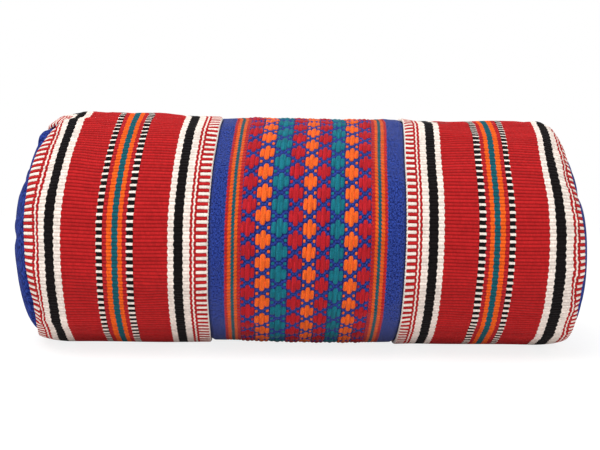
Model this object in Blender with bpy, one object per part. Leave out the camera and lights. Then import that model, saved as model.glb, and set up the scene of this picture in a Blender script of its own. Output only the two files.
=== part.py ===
"""Travel pouch: a barrel of woven wool cloth with two round ends and a zip behind its top.

The barrel lies along X with its middle at the origin and its flat spot on the floor, z = 0.
The front is at -Y. Cloth is placed by two numbers: how far out from the middle it lies, measured
along the cloth, and how deep it lies below the barrel's outer surface.
"""
import math

import bmesh
import bpy
from mathutils import Matrix, Vector

# Barrel, in metres
BARREL_RADIUS = 0.0575
SEAM_X = 0.1305
SHOULDER_RADIUS = 0.018
SHOULDER_TURN = math.radians(53.7)
SHOULDER_START = SEAM_X - SHOULDER_RADIUS * math.sin(SHOULDER_TURN)
SEAM_REACH = SHOULDER_START + SHOULDER_RADIUS * SHOULDER_TURN
SHOULDER_STEPS = 4

# Angular steps round the barrel: one flower and one gap fill a row's pitch
ROWS_ROUND = 32
ROW_STEP = 2.0 * math.pi / ROWS_ROUND
FLOWER_STEP = ROW_STEP / 2.0

# The flat spot is one row step to each side of the lowest line
AXIS_HEIGHT = BARREL_RADIUS * math.cos(ROW_STEP)
LOWEST = math.radians(-90.0)
NEAR_FLOOR = 2.0 * ROW_STEP

# The stuffing settles: the lower half of each shoulder is fuller than the upper half
SETTLED_SHARE = 0.6
SETTLED_FROM_RADIUS = 0.044

# Zip slot, measured from the front and upwards: ten row steps up is just behind the top
SLOT_START = 10.0 * ROW_STEP
SLOT_END = 11.0 * ROW_STEP
ZIP_ANGLE = (SLOT_START + SLOT_END) / 2.0
CLOTH_TURN = 2.0 * math.pi - (SLOT_END - SLOT_START)

# Thickness of each cloth and the gap left between layers that touch
GAP = 0.0004
PANEL_THICK = 0.0016
CENTRE_THICK = 0.0014
DISC_THICK = 0.0020
LINING_THICK = 0.0006
FACET_GAP = 0.00055

# Modelling values: a face that leans outwards more than this is on a cloth's outer side
OUTWARD_LEAN = 0.2
SAME_POINT = 0.00001
SHARP_ANGLE = math.radians(35.0)

# Depth of each layer below the barrel's outer surface
CENTRE_DEPTH = PANEL_THICK + FACET_GAP
CENTRE_CROWN = 0.0011
TAPE_DEPTH = CENTRE_DEPTH + CENTRE_THICK + GAP
TAPE_THICK = 0.0007
LINING_DEPTH = TAPE_DEPTH + TAPE_THICK + GAP

# Striped cloth, from the lapped selvedge out to the end seam: colour and width of each stripe
LAP_EDGE = 0.0454
LAP_WIDTH = 0.008
EDGE_STRIPES = [("white", 0.0014), ("red_bars", 0.0041)]
FINE_STRIPES = [("red", 0.0009), ("white", 0.0009), ("red", 0.0009)]
BLACK_BAND = [("white", 0.0032), ("black", 0.0041), ("white", 0.0032)]
RED_FIELD = [("red", 0.0160)]
TEAL_BAND = [
    ("black_bars", 0.0030),
    ("red", 0.0020),
    ("orange", 0.0023),
    ("teal", 0.0025),
    ("orange", 0.0023),
    ("red", 0.0020),
    ("black_bars", 0.0030),
]
STRIPES = (
    EDGE_STRIPES + FINE_STRIPES + BLACK_BAND + RED_FIELD + TEAL_BAND + RED_FIELD + BLACK_BAND
    + FINE_STRIPES[::-1] + [("red_bars", 0.0)]
)
BAR_COLOURS = {"red_bars": ("red", "white"), "black_bars": ("black", "white")}

# Centre cloth, from its middle outwards: nine columns of flowers, then a border and a plain edge
COLUMN_WIDTH = 0.0067
COLUMN_COLOURS = ["red", "orange", "teal", "red", "orange", "red", "teal", "orange", "red"]
COLUMNS_HALF = COLUMN_WIDTH * len(COLUMN_COLOURS) / 2.0
BORDER = [("red", 0.0015), ("orange", 0.0015), ("teal", 0.0016), ("orange", 0.0015), ("red", 0.0014)]
FLOWER_INSET = 0.0008
FLOWER_RAISE = 0.0004
CROWN_EDGE = 0.0025

# End disc: a dome past the seam, and a rim turned in under the striped panel
RIM_DEPTH = PANEL_THICK + GAP
RIM_START = SEAM_REACH - 0.0006
RIM_END = SEAM_REACH - 0.0115
RIM_STEPS = 2
DOME_START_X = 0.1288
DOME_RADIUS = 0.0479
DOME_RISE = 0.0118
DOME_POWER = 2.4
DOME_ROUND = 0.6
DOME_RINGS = 7

# Lining
LINING_HALF = 0.117
LINING_DOME_X = 0.1178
LINING_DOME_RADIUS = 0.0505
LINING_DOME_RISE = 0.0160
LINING_RINGS = 4

# Zip, measured in its own frame: z is the distance from the barrel's axis
TAPE_HALF_LENGTH = 0.1175
TAPE_EDGE = 0.0010
TAPE_WIDTH = 0.0125
TAPE_STEPS = 3
COIL_LIFT = 0.0003
COIL_LOW = BARREL_RADIUS - TAPE_DEPTH + COIL_LIFT
COIL_HEIGHT = 0.0016
COIL_INNER = 0.0006
COIL_OUTER = 0.0032
COIL_START = -0.1100
COIL_END = 0.1115
COIL_BEVEL = 0.0005
STOP_LENGTH = 0.0018
STOP_GAP = 0.0003
TOP_STOP_WIDTH = 0.0022
BOTTOM_STOP_HALF = 0.0034
TAB_START = 0.1145
TAB_DEPTH = 0.0006
TAB_THICK = 0.0010
TAB_SIDE_GAP = math.radians(0.5)
TAB_STEPS = 2

# Slider and pull, in the zip's frame
SLIDER_CLOSED_X = 0.1040
SLIDER_HALF = 0.0060
SLIDER_NOSE_WIDTH = 0.0046
SLIDER_TAIL_WIDTH = 0.0042
SLIDER_CLEAR = 0.0003
SLIDER_PLATE = 0.0010
SLIDER_FLOOR = BARREL_RADIUS - TAPE_DEPTH - TAPE_THICK - SLIDER_CLEAR
SLIDER_LOW = SLIDER_FLOOR - SLIDER_PLATE
SLIDER_ROOF = COIL_LOW + COIL_HEIGHT + SLIDER_CLEAR
SLIDER_TOP = SLIDER_ROOF + SLIDER_PLATE
SLIDER_CHANNEL = COIL_OUTER + SLIDER_CLEAR
TAPE_SLOT_TOP = BARREL_RADIUS - TAPE_DEPTH + SLIDER_CLEAR
NOSE_STEPS = 6
CUTTER_PAST = 0.004
POST_START = 0.0030
POST_END = 0.0054
POST_HALF = 0.0003
LUG_HALF = 0.0029
LUG_INNER = 0.0018
LUG_SIDE = 0.0010
HINGE_RISE = 0.0010
LUG_CLEAR = 0.0009
LUG_WALL = 0.0009
PULL_BAR = 0.0005
PULL_THICK = 0.0011
PULL_LENGTH = 0.0270
PULL_HALF = 0.0034
PULL_EYE_HALF = 0.0014
PULL_EYE_END = 0.0058
PULL_TIP_STEPS = 8
PULL_HOLE_RADIUS = 0.0016
PULL_HOLE_SIDES = 16
PULL_HOLE_FROM_TIP = 0.0042

# Colours as linear values, with each finish's roughness and metallic value
FINISHES = {
    "red": ((0.42, 0.013, 0.022), 0.95, 0.0),
    "white": ((0.86, 0.74, 0.66), 0.95, 0.0),
    "black": ((0.012, 0.011, 0.013), 0.95, 0.0),
    "orange": ((0.80, 0.11, 0.012), 0.95, 0.0),
    "teal": ((0.012, 0.16, 0.17), 0.95, 0.0),
    "blue": ((0.025, 0.045, 0.28), 0.95, 0.0),
    "disc_wool": ((0.022, 0.040, 0.26), 0.98, 0.0),
    "lining_cotton": ((0.030, 0.035, 0.09), 0.85, 0.0),
    "zip_tape": ((0.020, 0.030, 0.16), 0.90, 0.0),
    "zip_coil": ((0.018, 0.026, 0.13), 0.45, 0.0),
    "zip_metal": ((0.56, 0.53, 0.48), 0.32, 1.0),
}


def clear_scene():
    """Start from an empty file."""
    for obj in list(bpy.data.objects):
        bpy.data.objects.remove(obj)


def make_materials():
    """One Principled material for each finish."""
    for name, (colour, roughness, metallic) in FINISHES.items():
        material = bpy.data.materials.new(name)
        material.use_nodes = True
        shader = material.node_tree.nodes["Principled BSDF"]
        shader.inputs["Base Color"].default_value = (*colour, 1.0)
        shader.inputs["Roughness"].default_value = roughness
        shader.inputs["Metallic"].default_value = metallic
        material.diffuse_color = (*colour, 1.0)


def place_object(name, bm, collection, finishes):
    """Turn a bmesh into an object with its materials, shaded smooth on round parts."""
    mesh = bpy.data.meshes.new(name)
    bm.to_mesh(mesh)
    bm.free()
    for finish in finishes:
        mesh.materials.append(bpy.data.materials[finish])
    mesh.shade_smooth()
    mesh.set_sharp_from_angle(angle=SHARP_ANGLE)
    obj = bpy.data.objects.new(name, mesh)
    collection.objects.link(obj)
    return obj


# Cloth places

def on_barrel(reach, depth):
    """X and radius of cloth that lies reach out from the middle, depth under the outer surface."""
    if reach <= SHOULDER_START:
        return reach, BARREL_RADIUS - depth
    turn = (reach - SHOULDER_START) / SHOULDER_RADIUS
    arm = SHOULDER_RADIUS - depth
    x = SHOULDER_START + arm * math.sin(turn)
    radius = BARREL_RADIUS - SHOULDER_RADIUS + arm * math.cos(turn)
    return x, radius


def barrel_point(x, radius, angle):
    """A point round the barrel's axis, with the angle measured up from the front."""
    return Vector((x, -radius * math.cos(angle), AXIS_HEIGHT + radius * math.sin(angle)))


def shoulder_drop(x):
    """How far the outer surface has fallen at this x, up to the end seam."""
    past = min(abs(x), SEAM_X) - SHOULDER_START
    if past <= 0.0:
        return 0.0
    return SHOULDER_RADIUS - math.sqrt(SHOULDER_RADIUS**2 - past**2)


def settle(bm):
    """Fill out the lower shoulders and press the flat spot into the floor."""
    for vert in bm.verts:
        x, y, z = vert.co
        radius = math.hypot(y, z - AXIS_HEIGHT)
        angle = math.atan2(z - AXIS_HEIGHT, -y)
        lower = (1.0 - math.sin(angle)) / 2.0
        share = SETTLED_SHARE * min(radius / SETTLED_FROM_RADIUS, 1.0)
        radius += share * lower * shoulder_drop(x)
        off_lowest = math.cos(angle - LOWEST)
        if off_lowest > math.cos(NEAR_FLOOR):
            floor_reach = AXIS_HEIGHT - (BARREL_RADIUS - radius)
            radius = min(radius, floor_reach / off_lowest)
        vert.co = barrel_point(x, radius, angle)


# Turned cloth

def spin_profile(points, first_angle, turn, steps):
    """Turn a closed outline, given as (x, radius) pairs, part of the way round the barrel."""
    bm = bmesh.new()
    verts = [bm.verts.new(barrel_point(x, radius, first_angle)) for x, radius in points]
    edges = [bm.edges.new((verts[i - 1], verts[i])) for i in range(len(verts))]
    spun = bmesh.ops.spin(
        bm,
        geom=verts + edges,
        cent=(0.0, 0.0, AXIS_HEIGHT),
        axis=(-1.0, 0.0, 0.0),
        angle=turn,
        steps=steps,
    )
    last_edges = [part for part in spun["geom_last"] if isinstance(part, bmesh.types.BMEdge)]
    bmesh.ops.contextual_create(bm, geom=edges)
    bmesh.ops.contextual_create(bm, geom=last_edges)
    bmesh.ops.recalc_face_normals(bm, faces=bm.faces)
    return bm


def spin_disc(points, steps):
    """Turn an open outline that starts and ends on the axis once round it."""
    bm = bmesh.new()
    verts = [bm.verts.new(barrel_point(x, radius, 0.0)) for x, radius in points]
    edges = [bm.edges.new((verts[i - 1], verts[i])) for i in range(1, len(verts))]
    bmesh.ops.spin(
        bm,
        geom=verts + edges,
        cent=(0.0, 0.0, AXIS_HEIGHT),
        axis=(-1.0, 0.0, 0.0),
        angle=2.0 * math.pi,
        steps=steps,
        use_merge=True,
    )
    bmesh.ops.remove_doubles(bm, verts=bm.verts, dist=SAME_POINT)
    bmesh.ops.recalc_face_normals(bm, faces=bm.faces)
    return bm


def face_place(face):
    """X, angle and outward lean of a face's middle."""
    middle = face.calc_center_median()
    outward = Vector((0.0, middle.y, middle.z - AXIS_HEIGHT)).normalized()
    angle = math.atan2(middle.z - AXIS_HEIGHT, -middle.y) % (2.0 * math.pi)
    return middle.x, angle, face.normal.dot(outward)


def spaced(first, last, steps):
    """Evenly spaced values from first to last."""
    return [first + (last - first) * i / steps for i in range(steps + 1)]


def stripe_edges(stripes, start):
    """Where each stripe begins, measured out from the middle, and where the last one ends."""
    edges = [start]
    for _colour, width in stripes:
        edges.append(edges[-1] + width)
    return edges


def stripe_at(edges, reach):
    """Index of the stripe that holds this place."""
    inside = [i for i in range(len(edges) - 1) if edges[i] <= reach < edges[i + 1]]
    return inside[0] if inside else len(edges) - 2


def reach_of(x):
    """How far along the cloth an outer point at this x lies from the middle."""
    past = min(abs(x) - SHOULDER_START, SHOULDER_RADIUS)
    if past <= 0.0:
        return abs(x)
    return SHOULDER_START + SHOULDER_RADIUS * math.asin(past / SHOULDER_RADIUS)


def make_striped_panel(name, side, collection):
    """Striped cloth from one side of the zip round to the other, its stripes as fields of colour."""
    edges = stripe_edges(STRIPES, LAP_EDGE)
    edges[-1] = SEAM_REACH
    last_stripe_middle = (edges[-2] + SEAM_REACH) / 2.0
    outline = [on_barrel(reach, 0.0) for reach in edges[:-1] + [last_stripe_middle, SEAM_REACH]]
    shoulder = spaced(SEAM_REACH, SHOULDER_START, SHOULDER_STEPS)
    outline += [on_barrel(reach, PANEL_THICK) for reach in shoulder]
    outline.append(on_barrel(LAP_EDGE, PANEL_THICK))
    outline = [(side * x, radius) for x, radius in outline]
    bm = spin_profile(outline, SLOT_END, CLOTH_TURN, ROWS_ROUND - 1)
    colours = ["red", "white", "black", "orange", "teal"]
    for face in bm.faces:
        x, angle, lean = face_place(face)
        if lean < OUTWARD_LEAN:
            continue
        colour = STRIPES[stripe_at(edges, reach_of(x))][0]
        if colour in BAR_COLOURS:
            colour = BAR_COLOURS[colour][int(angle / ROW_STEP) % 2]
        face.material_index = colours.index(colour)
    settle(bm)
    place_object(name, bm, collection, colours)


def make_centre_panel(collection):
    """Centre cloth with raised flowers, its edges stepped down to lie under the striped panels."""
    border_edges = stripe_edges(BORDER, COLUMNS_HALF)
    column_edges = [COLUMN_WIDTH * i - COLUMNS_HALF for i in range(len(COLUMN_COLOURS) + 1)]
    crown_end = LAP_EDGE - CROWN_EDGE
    lap_end = LAP_EDGE + LAP_WIDTH
    lapped = BARREL_RADIUS - CENTRE_DEPTH
    half = [(x, BARREL_RADIUS - CENTRE_CROWN) for x in border_edges[1:] + [crown_end]]
    half += [(LAP_EDGE, lapped), (lap_end, lapped)]
    outline = [(-x, radius) for x, radius in reversed(half)]
    outline += [(x, BARREL_RADIUS - CENTRE_CROWN) for x in column_edges]
    outline += half
    inner = lapped - CENTRE_THICK
    outline += [(lap_end, inner), (0.0, inner), (-lap_end, inner)]
    bm = spin_profile(outline, SLOT_END, CLOTH_TURN, 2 * (ROWS_ROUND - 1))
    colours = ["blue", "red", "orange", "teal"]
    flowers = []
    for face in bm.faces:
        x, angle, lean = face_place(face)
        if lean < OUTWARD_LEAN:
            continue
        if abs(x) < COLUMNS_HALF:
            column = int((x + COLUMNS_HALF) / COLUMN_WIDTH)
            if (column + int(angle / FLOWER_STEP)) % 2:
                face.material_index = colours.index(COLUMN_COLOURS[column])
                flowers.append(face)
        elif abs(x) < border_edges[-1]:
            face.material_index = colours.index(BORDER[stripe_at(border_edges, abs(x))][0])
    bmesh.ops.inset_individual(bm, faces=flowers, thickness=FLOWER_INSET, depth=FLOWER_RAISE)
    settle(bm)
    place_object("centre_panel", bm, collection, colours)


def dome_outline(start_x, rim_radius, rise, rings):
    """Points of a soft dome from the axis out to its rim."""
    points = []
    for i in range(rings + 1):
        radius = rim_radius * math.sin(math.pi / 2.0 * i / rings)
        fall = 1.0 - (radius / rim_radius) ** DOME_POWER
        points.append((start_x + rise * max(fall, 0.0) ** DOME_ROUND, radius))
    return points


def make_end_disc(name, side, collection):
    """Round wool end: a dome past the seam, its rim turned in under the striped panel."""
    outer = dome_outline(DOME_START_X, DOME_RADIUS, DOME_RISE, DOME_RINGS)[:-1]
    rim_reaches = spaced(RIM_START, RIM_END, RIM_STEPS)
    outer += [on_barrel(reach, RIM_DEPTH) for reach in rim_reaches]
    inner = [on_barrel(reach, RIM_DEPTH + DISC_THICK) for reach in reversed(rim_reaches)]
    inner_radius = DOME_RADIUS - DISC_THICK
    dome_inside = dome_outline(DOME_START_X - DISC_THICK, inner_radius, DOME_RISE, DOME_RINGS - 1)
    inner += list(reversed(dome_inside[:-1]))
    outline = [(side * x, radius) for x, radius in outer + inner]
    bm = spin_disc(outline, ROWS_ROUND)
    settle(bm)
    place_object(name, bm, collection, ["disc_wool"])


def make_lining_barrel(collection):
    """Cotton lining of the barrel, open along the zip."""
    outer = BARREL_RADIUS - LINING_DEPTH
    inner = outer - LINING_THICK
    ends = [-LINING_HALF, LINING_HALF]
    outline = [(x, outer) for x in ends] + [(x, inner) for x in reversed(ends)]
    bm = spin_profile(outline, SLOT_END, CLOTH_TURN, ROWS_ROUND - 1)
    settle(bm)
    place_object("lining_barrel", bm, collection, ["lining_cotton"])


def make_lining_end(name, side, collection):
    """Cotton lining of one end, a shallow dish inside the wool disc."""
    outer = dome_outline(LINING_DOME_X, LINING_DOME_RADIUS, LINING_DOME_RISE, LINING_RINGS)
    inner_radius = LINING_DOME_RADIUS - LINING_THICK
    inner = dome_outline(LINING_DOME_X, inner_radius, LINING_DOME_RISE - LINING_THICK, LINING_RINGS)
    outline = [(side * x, radius) for x, radius in outer + list(reversed(inner))]
    bm = spin_disc(outline, ROWS_ROUND)
    settle(bm)
    place_object(name, bm, collection, ["lining_cotton"])


# Zip

def zip_frame():
    """Frame of the zip: x along it, z out from the barrel's axis through the slot's middle."""
    lift = Matrix.Translation((0.0, 0.0, AXIS_HEIGHT))
    return lift @ Matrix.Rotation(math.radians(90.0) - ZIP_ANGLE, 4, "X")


def make_zip_tape(name, side, collection):
    """One woven tape, curved to lie between the cloth and the lining."""
    top = BARREL_RADIUS - TAPE_DEPTH
    bottom = top - TAPE_THICK
    half = TAPE_HALF_LENGTH
    outline = [(-half, top), (half, top), (half, bottom), (-half, bottom)]
    first = ZIP_ANGLE + side * TAPE_EDGE / top
    turn = side * TAPE_WIDTH / top
    bm = spin_profile(outline, first, turn, TAPE_STEPS)
    place_object(name, bm, collection, ["zip_tape"])


def make_zip_tab(name, side, collection):
    """Wool tab that closes the slot from the zip's end to the end seam."""
    reaches = spaced(TAB_START, SEAM_REACH, SHOULDER_STEPS)
    outline = [on_barrel(reach, TAB_DEPTH) for reach in reaches]
    outline += [on_barrel(reach, TAB_DEPTH + TAB_THICK) for reach in reversed(reaches)]
    outline = [(side * x, radius) for x, radius in outline]
    first = SLOT_START + TAB_SIDE_GAP
    turn = SLOT_END - SLOT_START - 2.0 * TAB_SIDE_GAP
    bm = spin_profile(outline, first, turn, TAB_STEPS)
    settle(bm)
    place_object(name, bm, collection, ["disc_wool"])


def add_block(bm, low, high):
    """Add a box between two corners to a bmesh and return its edges."""
    size = [b - a for a, b in zip(low, high)]
    middle = [(a + b) / 2.0 for a, b in zip(low, high)]
    matrix = Matrix.Translation(middle) @ Matrix.Diagonal((*size, 1.0))
    made = bmesh.ops.create_cube(bm, size=1.0, matrix=matrix)
    return {edge for vert in made["verts"] for edge in vert.link_edges}


def bevel_edges(bm, edges, width):
    """Round edges over with two faces."""
    bmesh.ops.bevel(
        bm, geom=list(edges), offset=width, segments=2, profile=0.5, affect="EDGES", material=-1
    )


def make_zip_coil(name, side, collection):
    """One nylon coil as a rounded strip sewn along its tape's edge."""
    bm = bmesh.new()
    across = sorted((side * COIL_INNER, side * COIL_OUTER))
    low = (COIL_START, across[0], COIL_LOW)
    high = (COIL_END, across[1], COIL_LOW + COIL_HEIGHT)
    edges = add_block(bm, low, high)
    bevel_edges(bm, [edge for edge in edges if edge.calc_length() > COIL_END], COIL_BEVEL)
    coil = place_object(name, bm, collection, ["zip_coil"])
    coil.matrix_world = zip_frame()


def make_stops(collection):
    """A top stop on each tape at the closed end, and one bottom stop across both coils."""
    top_z = COIL_LOW + COIL_HEIGHT
    start = COIL_END + STOP_GAP
    end = COIL_START - STOP_GAP
    spots = {
        "zip_top_stop_front": ((start, -COIL_INNER - TOP_STOP_WIDTH), (start + STOP_LENGTH, -COIL_INNER)),
        "zip_top_stop_rear": ((start, COIL_INNER), (start + STOP_LENGTH, COIL_INNER + TOP_STOP_WIDTH)),
        "zip_bottom_stop": ((end - STOP_LENGTH, -BOTTOM_STOP_HALF), (end, BOTTOM_STOP_HALF)),
    }
    for name, (low, high) in spots.items():
        bm = bmesh.new()
        bevel_edges(bm, add_block(bm, (*low, COIL_LOW), (*high, top_z)), STOP_GAP)
        stop = place_object(name, bm, collection, ["zip_metal"])
        stop.matrix_world = zip_frame()


def extrude_outline(bm, points, direction):
    """Fill a flat outline and pull it along a direction into a solid."""
    face = bm.faces.new([bm.verts.new(point) for point in points])
    pulled = bmesh.ops.extrude_face_region(bm, geom=[face])
    verts = [part for part in pulled["geom"] if isinstance(part, bmesh.types.BMVert)]
    bmesh.ops.translate(bm, verts=verts, vec=direction)
    bmesh.ops.recalc_face_normals(bm, faces=bm.faces)


def add_cutter(name, bm, cutters, frame):
    """A helper solid for a Boolean, kept out of the model."""
    mesh = bpy.data.meshes.new(name)
    bm.to_mesh(mesh)
    bm.free()
    obj = bpy.data.objects.new(name, mesh)
    cutters.objects.link(obj)
    obj.matrix_world = frame
    obj.hide_render = True
    obj.display_type = "WIRE"
    return obj


def add_boolean(obj, other, operation):
    """Cut or join with the exact solver."""
    modifier = obj.modifiers.new(other.name, "BOOLEAN")
    modifier.operation = operation
    modifier.solver = "EXACT"
    modifier.object = other


def slider_outline():
    """Plan of the slider: a rounded nose, wide where the tapes part, and a narrower tail."""
    points = [(-SLIDER_HALF, -SLIDER_TAIL_WIDTH)]
    for i in range(NOSE_STEPS + 1):
        turn = math.pi * (i / NOSE_STEPS - 0.5)
        x = SLIDER_HALF / 2.0 + SLIDER_HALF / 2.0 * math.cos(turn)
        points.append((x, SLIDER_NOSE_WIDTH * math.sin(turn)))
    points.append((-SLIDER_HALF, SLIDER_TAIL_WIDTH))
    return points


def make_slider(collection, cutters):
    """Slider: two plates joined by a thin post, open to the coils and the tapes, with a lug on top."""
    frame = zip_frame() @ Matrix.Translation((SLIDER_CLOSED_X, 0.0, 0.0))
    bm = bmesh.new()
    plan = [(x, y, SLIDER_LOW) for x, y in slider_outline()]
    extrude_outline(bm, plan, (0.0, 0.0, SLIDER_TOP - SLIDER_LOW))
    slider = place_object("zip_slider", bm, collection, ["zip_metal"])
    slider.matrix_world = frame
    past = SLIDER_HALF + CUTTER_PAST
    bm = bmesh.new()
    add_block(bm, (-past, -SLIDER_CHANNEL, SLIDER_FLOOR), (past, SLIDER_CHANNEL, SLIDER_ROOF))
    add_boolean(slider, add_cutter("coil_channel", bm, cutters, frame), "DIFFERENCE")
    bm = bmesh.new()
    add_block(bm, (-past, -past, SLIDER_FLOOR), (past, past, TAPE_SLOT_TOP))
    add_boolean(slider, add_cutter("tape_slot", bm, cutters, frame), "DIFFERENCE")
    bm = bmesh.new()
    sunk = GAP
    low = (POST_START, -POST_HALF, SLIDER_FLOOR - sunk)
    add_block(bm, low, (POST_END, POST_HALF, SLIDER_ROOF + sunk))
    add_boolean(slider, add_cutter("slider_post", bm, cutters, frame), "UNION")
    hinge_z = SLIDER_TOP + HINGE_RISE
    arch_top = hinge_z + LUG_CLEAR
    lug_top = arch_top + LUG_WALL
    foot = SLIDER_TOP - sunk
    arch = [
        (-LUG_HALF, foot),
        (-LUG_HALF, lug_top - LUG_WALL),
        (-LUG_INNER, lug_top),
        (LUG_INNER, lug_top),
        (LUG_HALF, lug_top - LUG_WALL),
        (LUG_HALF, foot),
        (LUG_INNER, foot),
        (LUG_INNER, arch_top),
        (-LUG_INNER, arch_top),
        (-LUG_INNER, foot),
    ]
    bm = bmesh.new()
    extrude_outline(bm, [(x, -LUG_SIDE, z) for x, z in arch], (0.0, 2.0 * LUG_SIDE, 0.0))
    add_boolean(slider, add_cutter("slider_lug", bm, cutters, frame), "UNION")


def make_pull(collection, cutters):
    """Pull: a plate with an eye round the slider's lug, lying back along the closed zip."""
    hinge = zip_frame() @ Matrix.Translation((SLIDER_CLOSED_X, 0.0, SLIDER_TOP + HINGE_RISE))
    plan = [(PULL_BAR, -PULL_HALF), (PULL_BAR, PULL_HALF)]
    for i in range(PULL_TIP_STEPS + 1):
        turn = math.pi * (i / PULL_TIP_STEPS + 0.5)
        x = PULL_HALF - PULL_LENGTH + PULL_HALF * math.cos(turn)
        plan.append((x, PULL_HALF * math.sin(turn)))
    bm = bmesh.new()
    plan = [(x, y, -PULL_THICK / 2.0) for x, y in plan]
    extrude_outline(bm, plan, (0.0, 0.0, PULL_THICK))
    pull = place_object("zip_pull", bm, collection, ["zip_metal"])
    pull.matrix_world = hinge
    past = CUTTER_PAST
    bm = bmesh.new()
    add_block(bm, (-PULL_EYE_END, -PULL_EYE_HALF, -past), (-PULL_BAR, PULL_EYE_HALF, past))
    add_boolean(pull, add_cutter("pull_eye", bm, cutters, hinge), "DIFFERENCE")
    bm = bmesh.new()
    hole_x = PULL_HOLE_FROM_TIP - PULL_LENGTH
    bmesh.ops.create_cone(
        bm,
        cap_ends=True,
        segments=PULL_HOLE_SIDES,
        radius1=PULL_HOLE_RADIUS,
        radius2=PULL_HOLE_RADIUS,
        depth=2.0 * past,
        matrix=Matrix.Translation((hole_x, 0.0, 0.0)),
    )
    add_boolean(pull, add_cutter("pull_hole", bm, cutters, hinge), "DIFFERENCE")


def build():
    """Make every piece of the pouch."""
    clear_scene()
    pouch = bpy.data.collections.new("travel_pouch")
    cutters = bpy.data.collections.new("cutters")
    bpy.context.scene.collection.children.link(pouch)
    bpy.context.scene.collection.children.link(cutters)
    make_materials()
    for word, side in (("left", -1.0), ("right", 1.0)):
        make_striped_panel("striped_panel_" + word, side, pouch)
        make_end_disc("end_disc_" + word, side, pouch)
        make_lining_end("lining_end_" + word, side, pouch)
        make_zip_tab("zip_tab_" + word, side, pouch)
    make_centre_panel(pouch)
    make_lining_barrel(pouch)
    for word, side in (("front", -1.0), ("rear", 1.0)):
        make_zip_tape("zip_tape_" + word, side, pouch)
        make_zip_coil("zip_coil_" + word, side, pouch)
    make_stops(pouch)
    make_slider(pouch, cutters)
    make_pull(pouch, cutters)


build()
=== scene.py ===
"""Looks of the travel pouch: woven wool panels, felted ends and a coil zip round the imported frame."""
import math

import bmesh
import bpy
import numpy as np
from mathutils import Matrix, Quaternion, Vector


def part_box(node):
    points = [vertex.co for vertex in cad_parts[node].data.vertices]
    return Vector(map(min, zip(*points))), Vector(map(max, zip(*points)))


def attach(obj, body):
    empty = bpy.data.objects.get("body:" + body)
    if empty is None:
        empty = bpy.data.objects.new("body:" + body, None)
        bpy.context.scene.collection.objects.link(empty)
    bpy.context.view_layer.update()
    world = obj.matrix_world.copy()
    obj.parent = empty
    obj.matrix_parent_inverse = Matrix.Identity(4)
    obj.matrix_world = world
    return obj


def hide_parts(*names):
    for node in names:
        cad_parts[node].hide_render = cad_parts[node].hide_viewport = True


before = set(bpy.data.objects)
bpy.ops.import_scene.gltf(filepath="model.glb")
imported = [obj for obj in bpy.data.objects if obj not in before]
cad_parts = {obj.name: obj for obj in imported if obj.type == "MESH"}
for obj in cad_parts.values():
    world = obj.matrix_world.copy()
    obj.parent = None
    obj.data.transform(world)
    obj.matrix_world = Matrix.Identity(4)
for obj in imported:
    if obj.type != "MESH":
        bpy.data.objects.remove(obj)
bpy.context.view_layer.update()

MM = 0.001
PATTERN_SEED = 7

# Barrel, read from the frame and in metres
striped_low, striped_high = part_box("striped_panel_right")
BARREL_RADIUS = (striped_high.y - striped_low.y) / 2.0
LAP_EDGE = striped_low.x
SEAM_X = striped_high.x
SHOULDER_RADIUS = 0.018
SHOULDER_TURN = math.radians(53.7)
SHOULDER_START = SEAM_X - SHOULDER_RADIUS * math.sin(SHOULDER_TURN)
SEAM_REACH = SHOULDER_START + SHOULDER_RADIUS * SHOULDER_TURN
ROWS_ROUND = 32
ROW_STEP = 2.0 * math.pi / ROWS_ROUND
AXIS_HEIGHT = BARREL_RADIUS * math.cos(ROW_STEP)
SLOT_START = 10.0 * ROW_STEP
SLOT_END = 11.0 * ROW_STEP
ZIP_ANGLE = (SLOT_START + SLOT_END) / 2.0
CLOTH_TURN = 2.0 * math.pi - (SLOT_END - SLOT_START)
SETTLED_SHARE = 0.6
SETTLED_FROM_RADIUS = 0.044
FLAT_FROM = 0.2

# End domes
DOME_RADIUS = 0.0479
DOME_START_X = 0.1288
DOME_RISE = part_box("end_disc_right")[1].x - DOME_START_X
DOME_POWER = 2.4
DOME_ROUND = 0.6
DOME_SPAN = 0.050
PROFILE_STEP = 0.01

# How the cloth of the photographed pouch has shifted over its stuffing
ZIP_HOLD = math.radians(9.0)
ZIP_FREE = math.radians(34.5)
LEAN_FROM = 0.1
TOP_LEAN = 0.00108
TOP_SHRINK = 0.028
CROWN_SLIDE = 0.0029
CROWN_FROM = math.radians(32.0)
CROWN_TO = math.radians(100.0)
LOW_LEAN = 0.0003
LOW_SHRINK = 0.006
LOW_FROM = math.radians(25.0)
LOW_TO = math.radians(60.0)
BACK_START = math.radians(110.0)
BACK_END = math.radians(170.0)
BACK_SHARE = 0.4
LEFT_SLIDE = 0.0008
LEFT_LOW_SLIDE = 0.0010
RIGHT_HIGH_SLIDE = 0.0008
RIGHT_HIGH_UP = math.radians(48.0)
RIGHT_HIGH_SPREAD = math.radians(18.0)
LEFT_LOW_UP = math.radians(-32.0)
LEFT_LOW_SPREAD = math.radians(14.0)
RIGHT_LAP_SLIDE = 0.0012
RIGHT_END_TILT = 0.0042
RIGHT_END_DRAW = 0.0009
RIGHT_TILT_SPAN = (0.8 * SEAM_X, 1.1 * SEAM_X)
TUCK_ANGLE = math.radians(76.5)
TUCK_EDGE = math.radians(2.8)
TUCK_INNER = 0.098
TUCK_OUTER = 0.114
TUCK_SLIDE = 0.0019
HEEL_FROM = 0.122
HEEL_FADE = 0.006
HEEL_FULL = 0.0021
HEEL_FULL_FROM = math.radians(12.0)
HEEL_FULL_TO = math.radians(45.0)
TUCK_DEPTH = 0.0008
RIPPLE_DIP = 0.0017
RIPPLE_ACROSS = -0.098
RIPPLE_WIDTH = 0.010
RIPPLE_UP = math.radians(45.0)
RIPPLE_SPREAD = math.radians(28.0)
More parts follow.
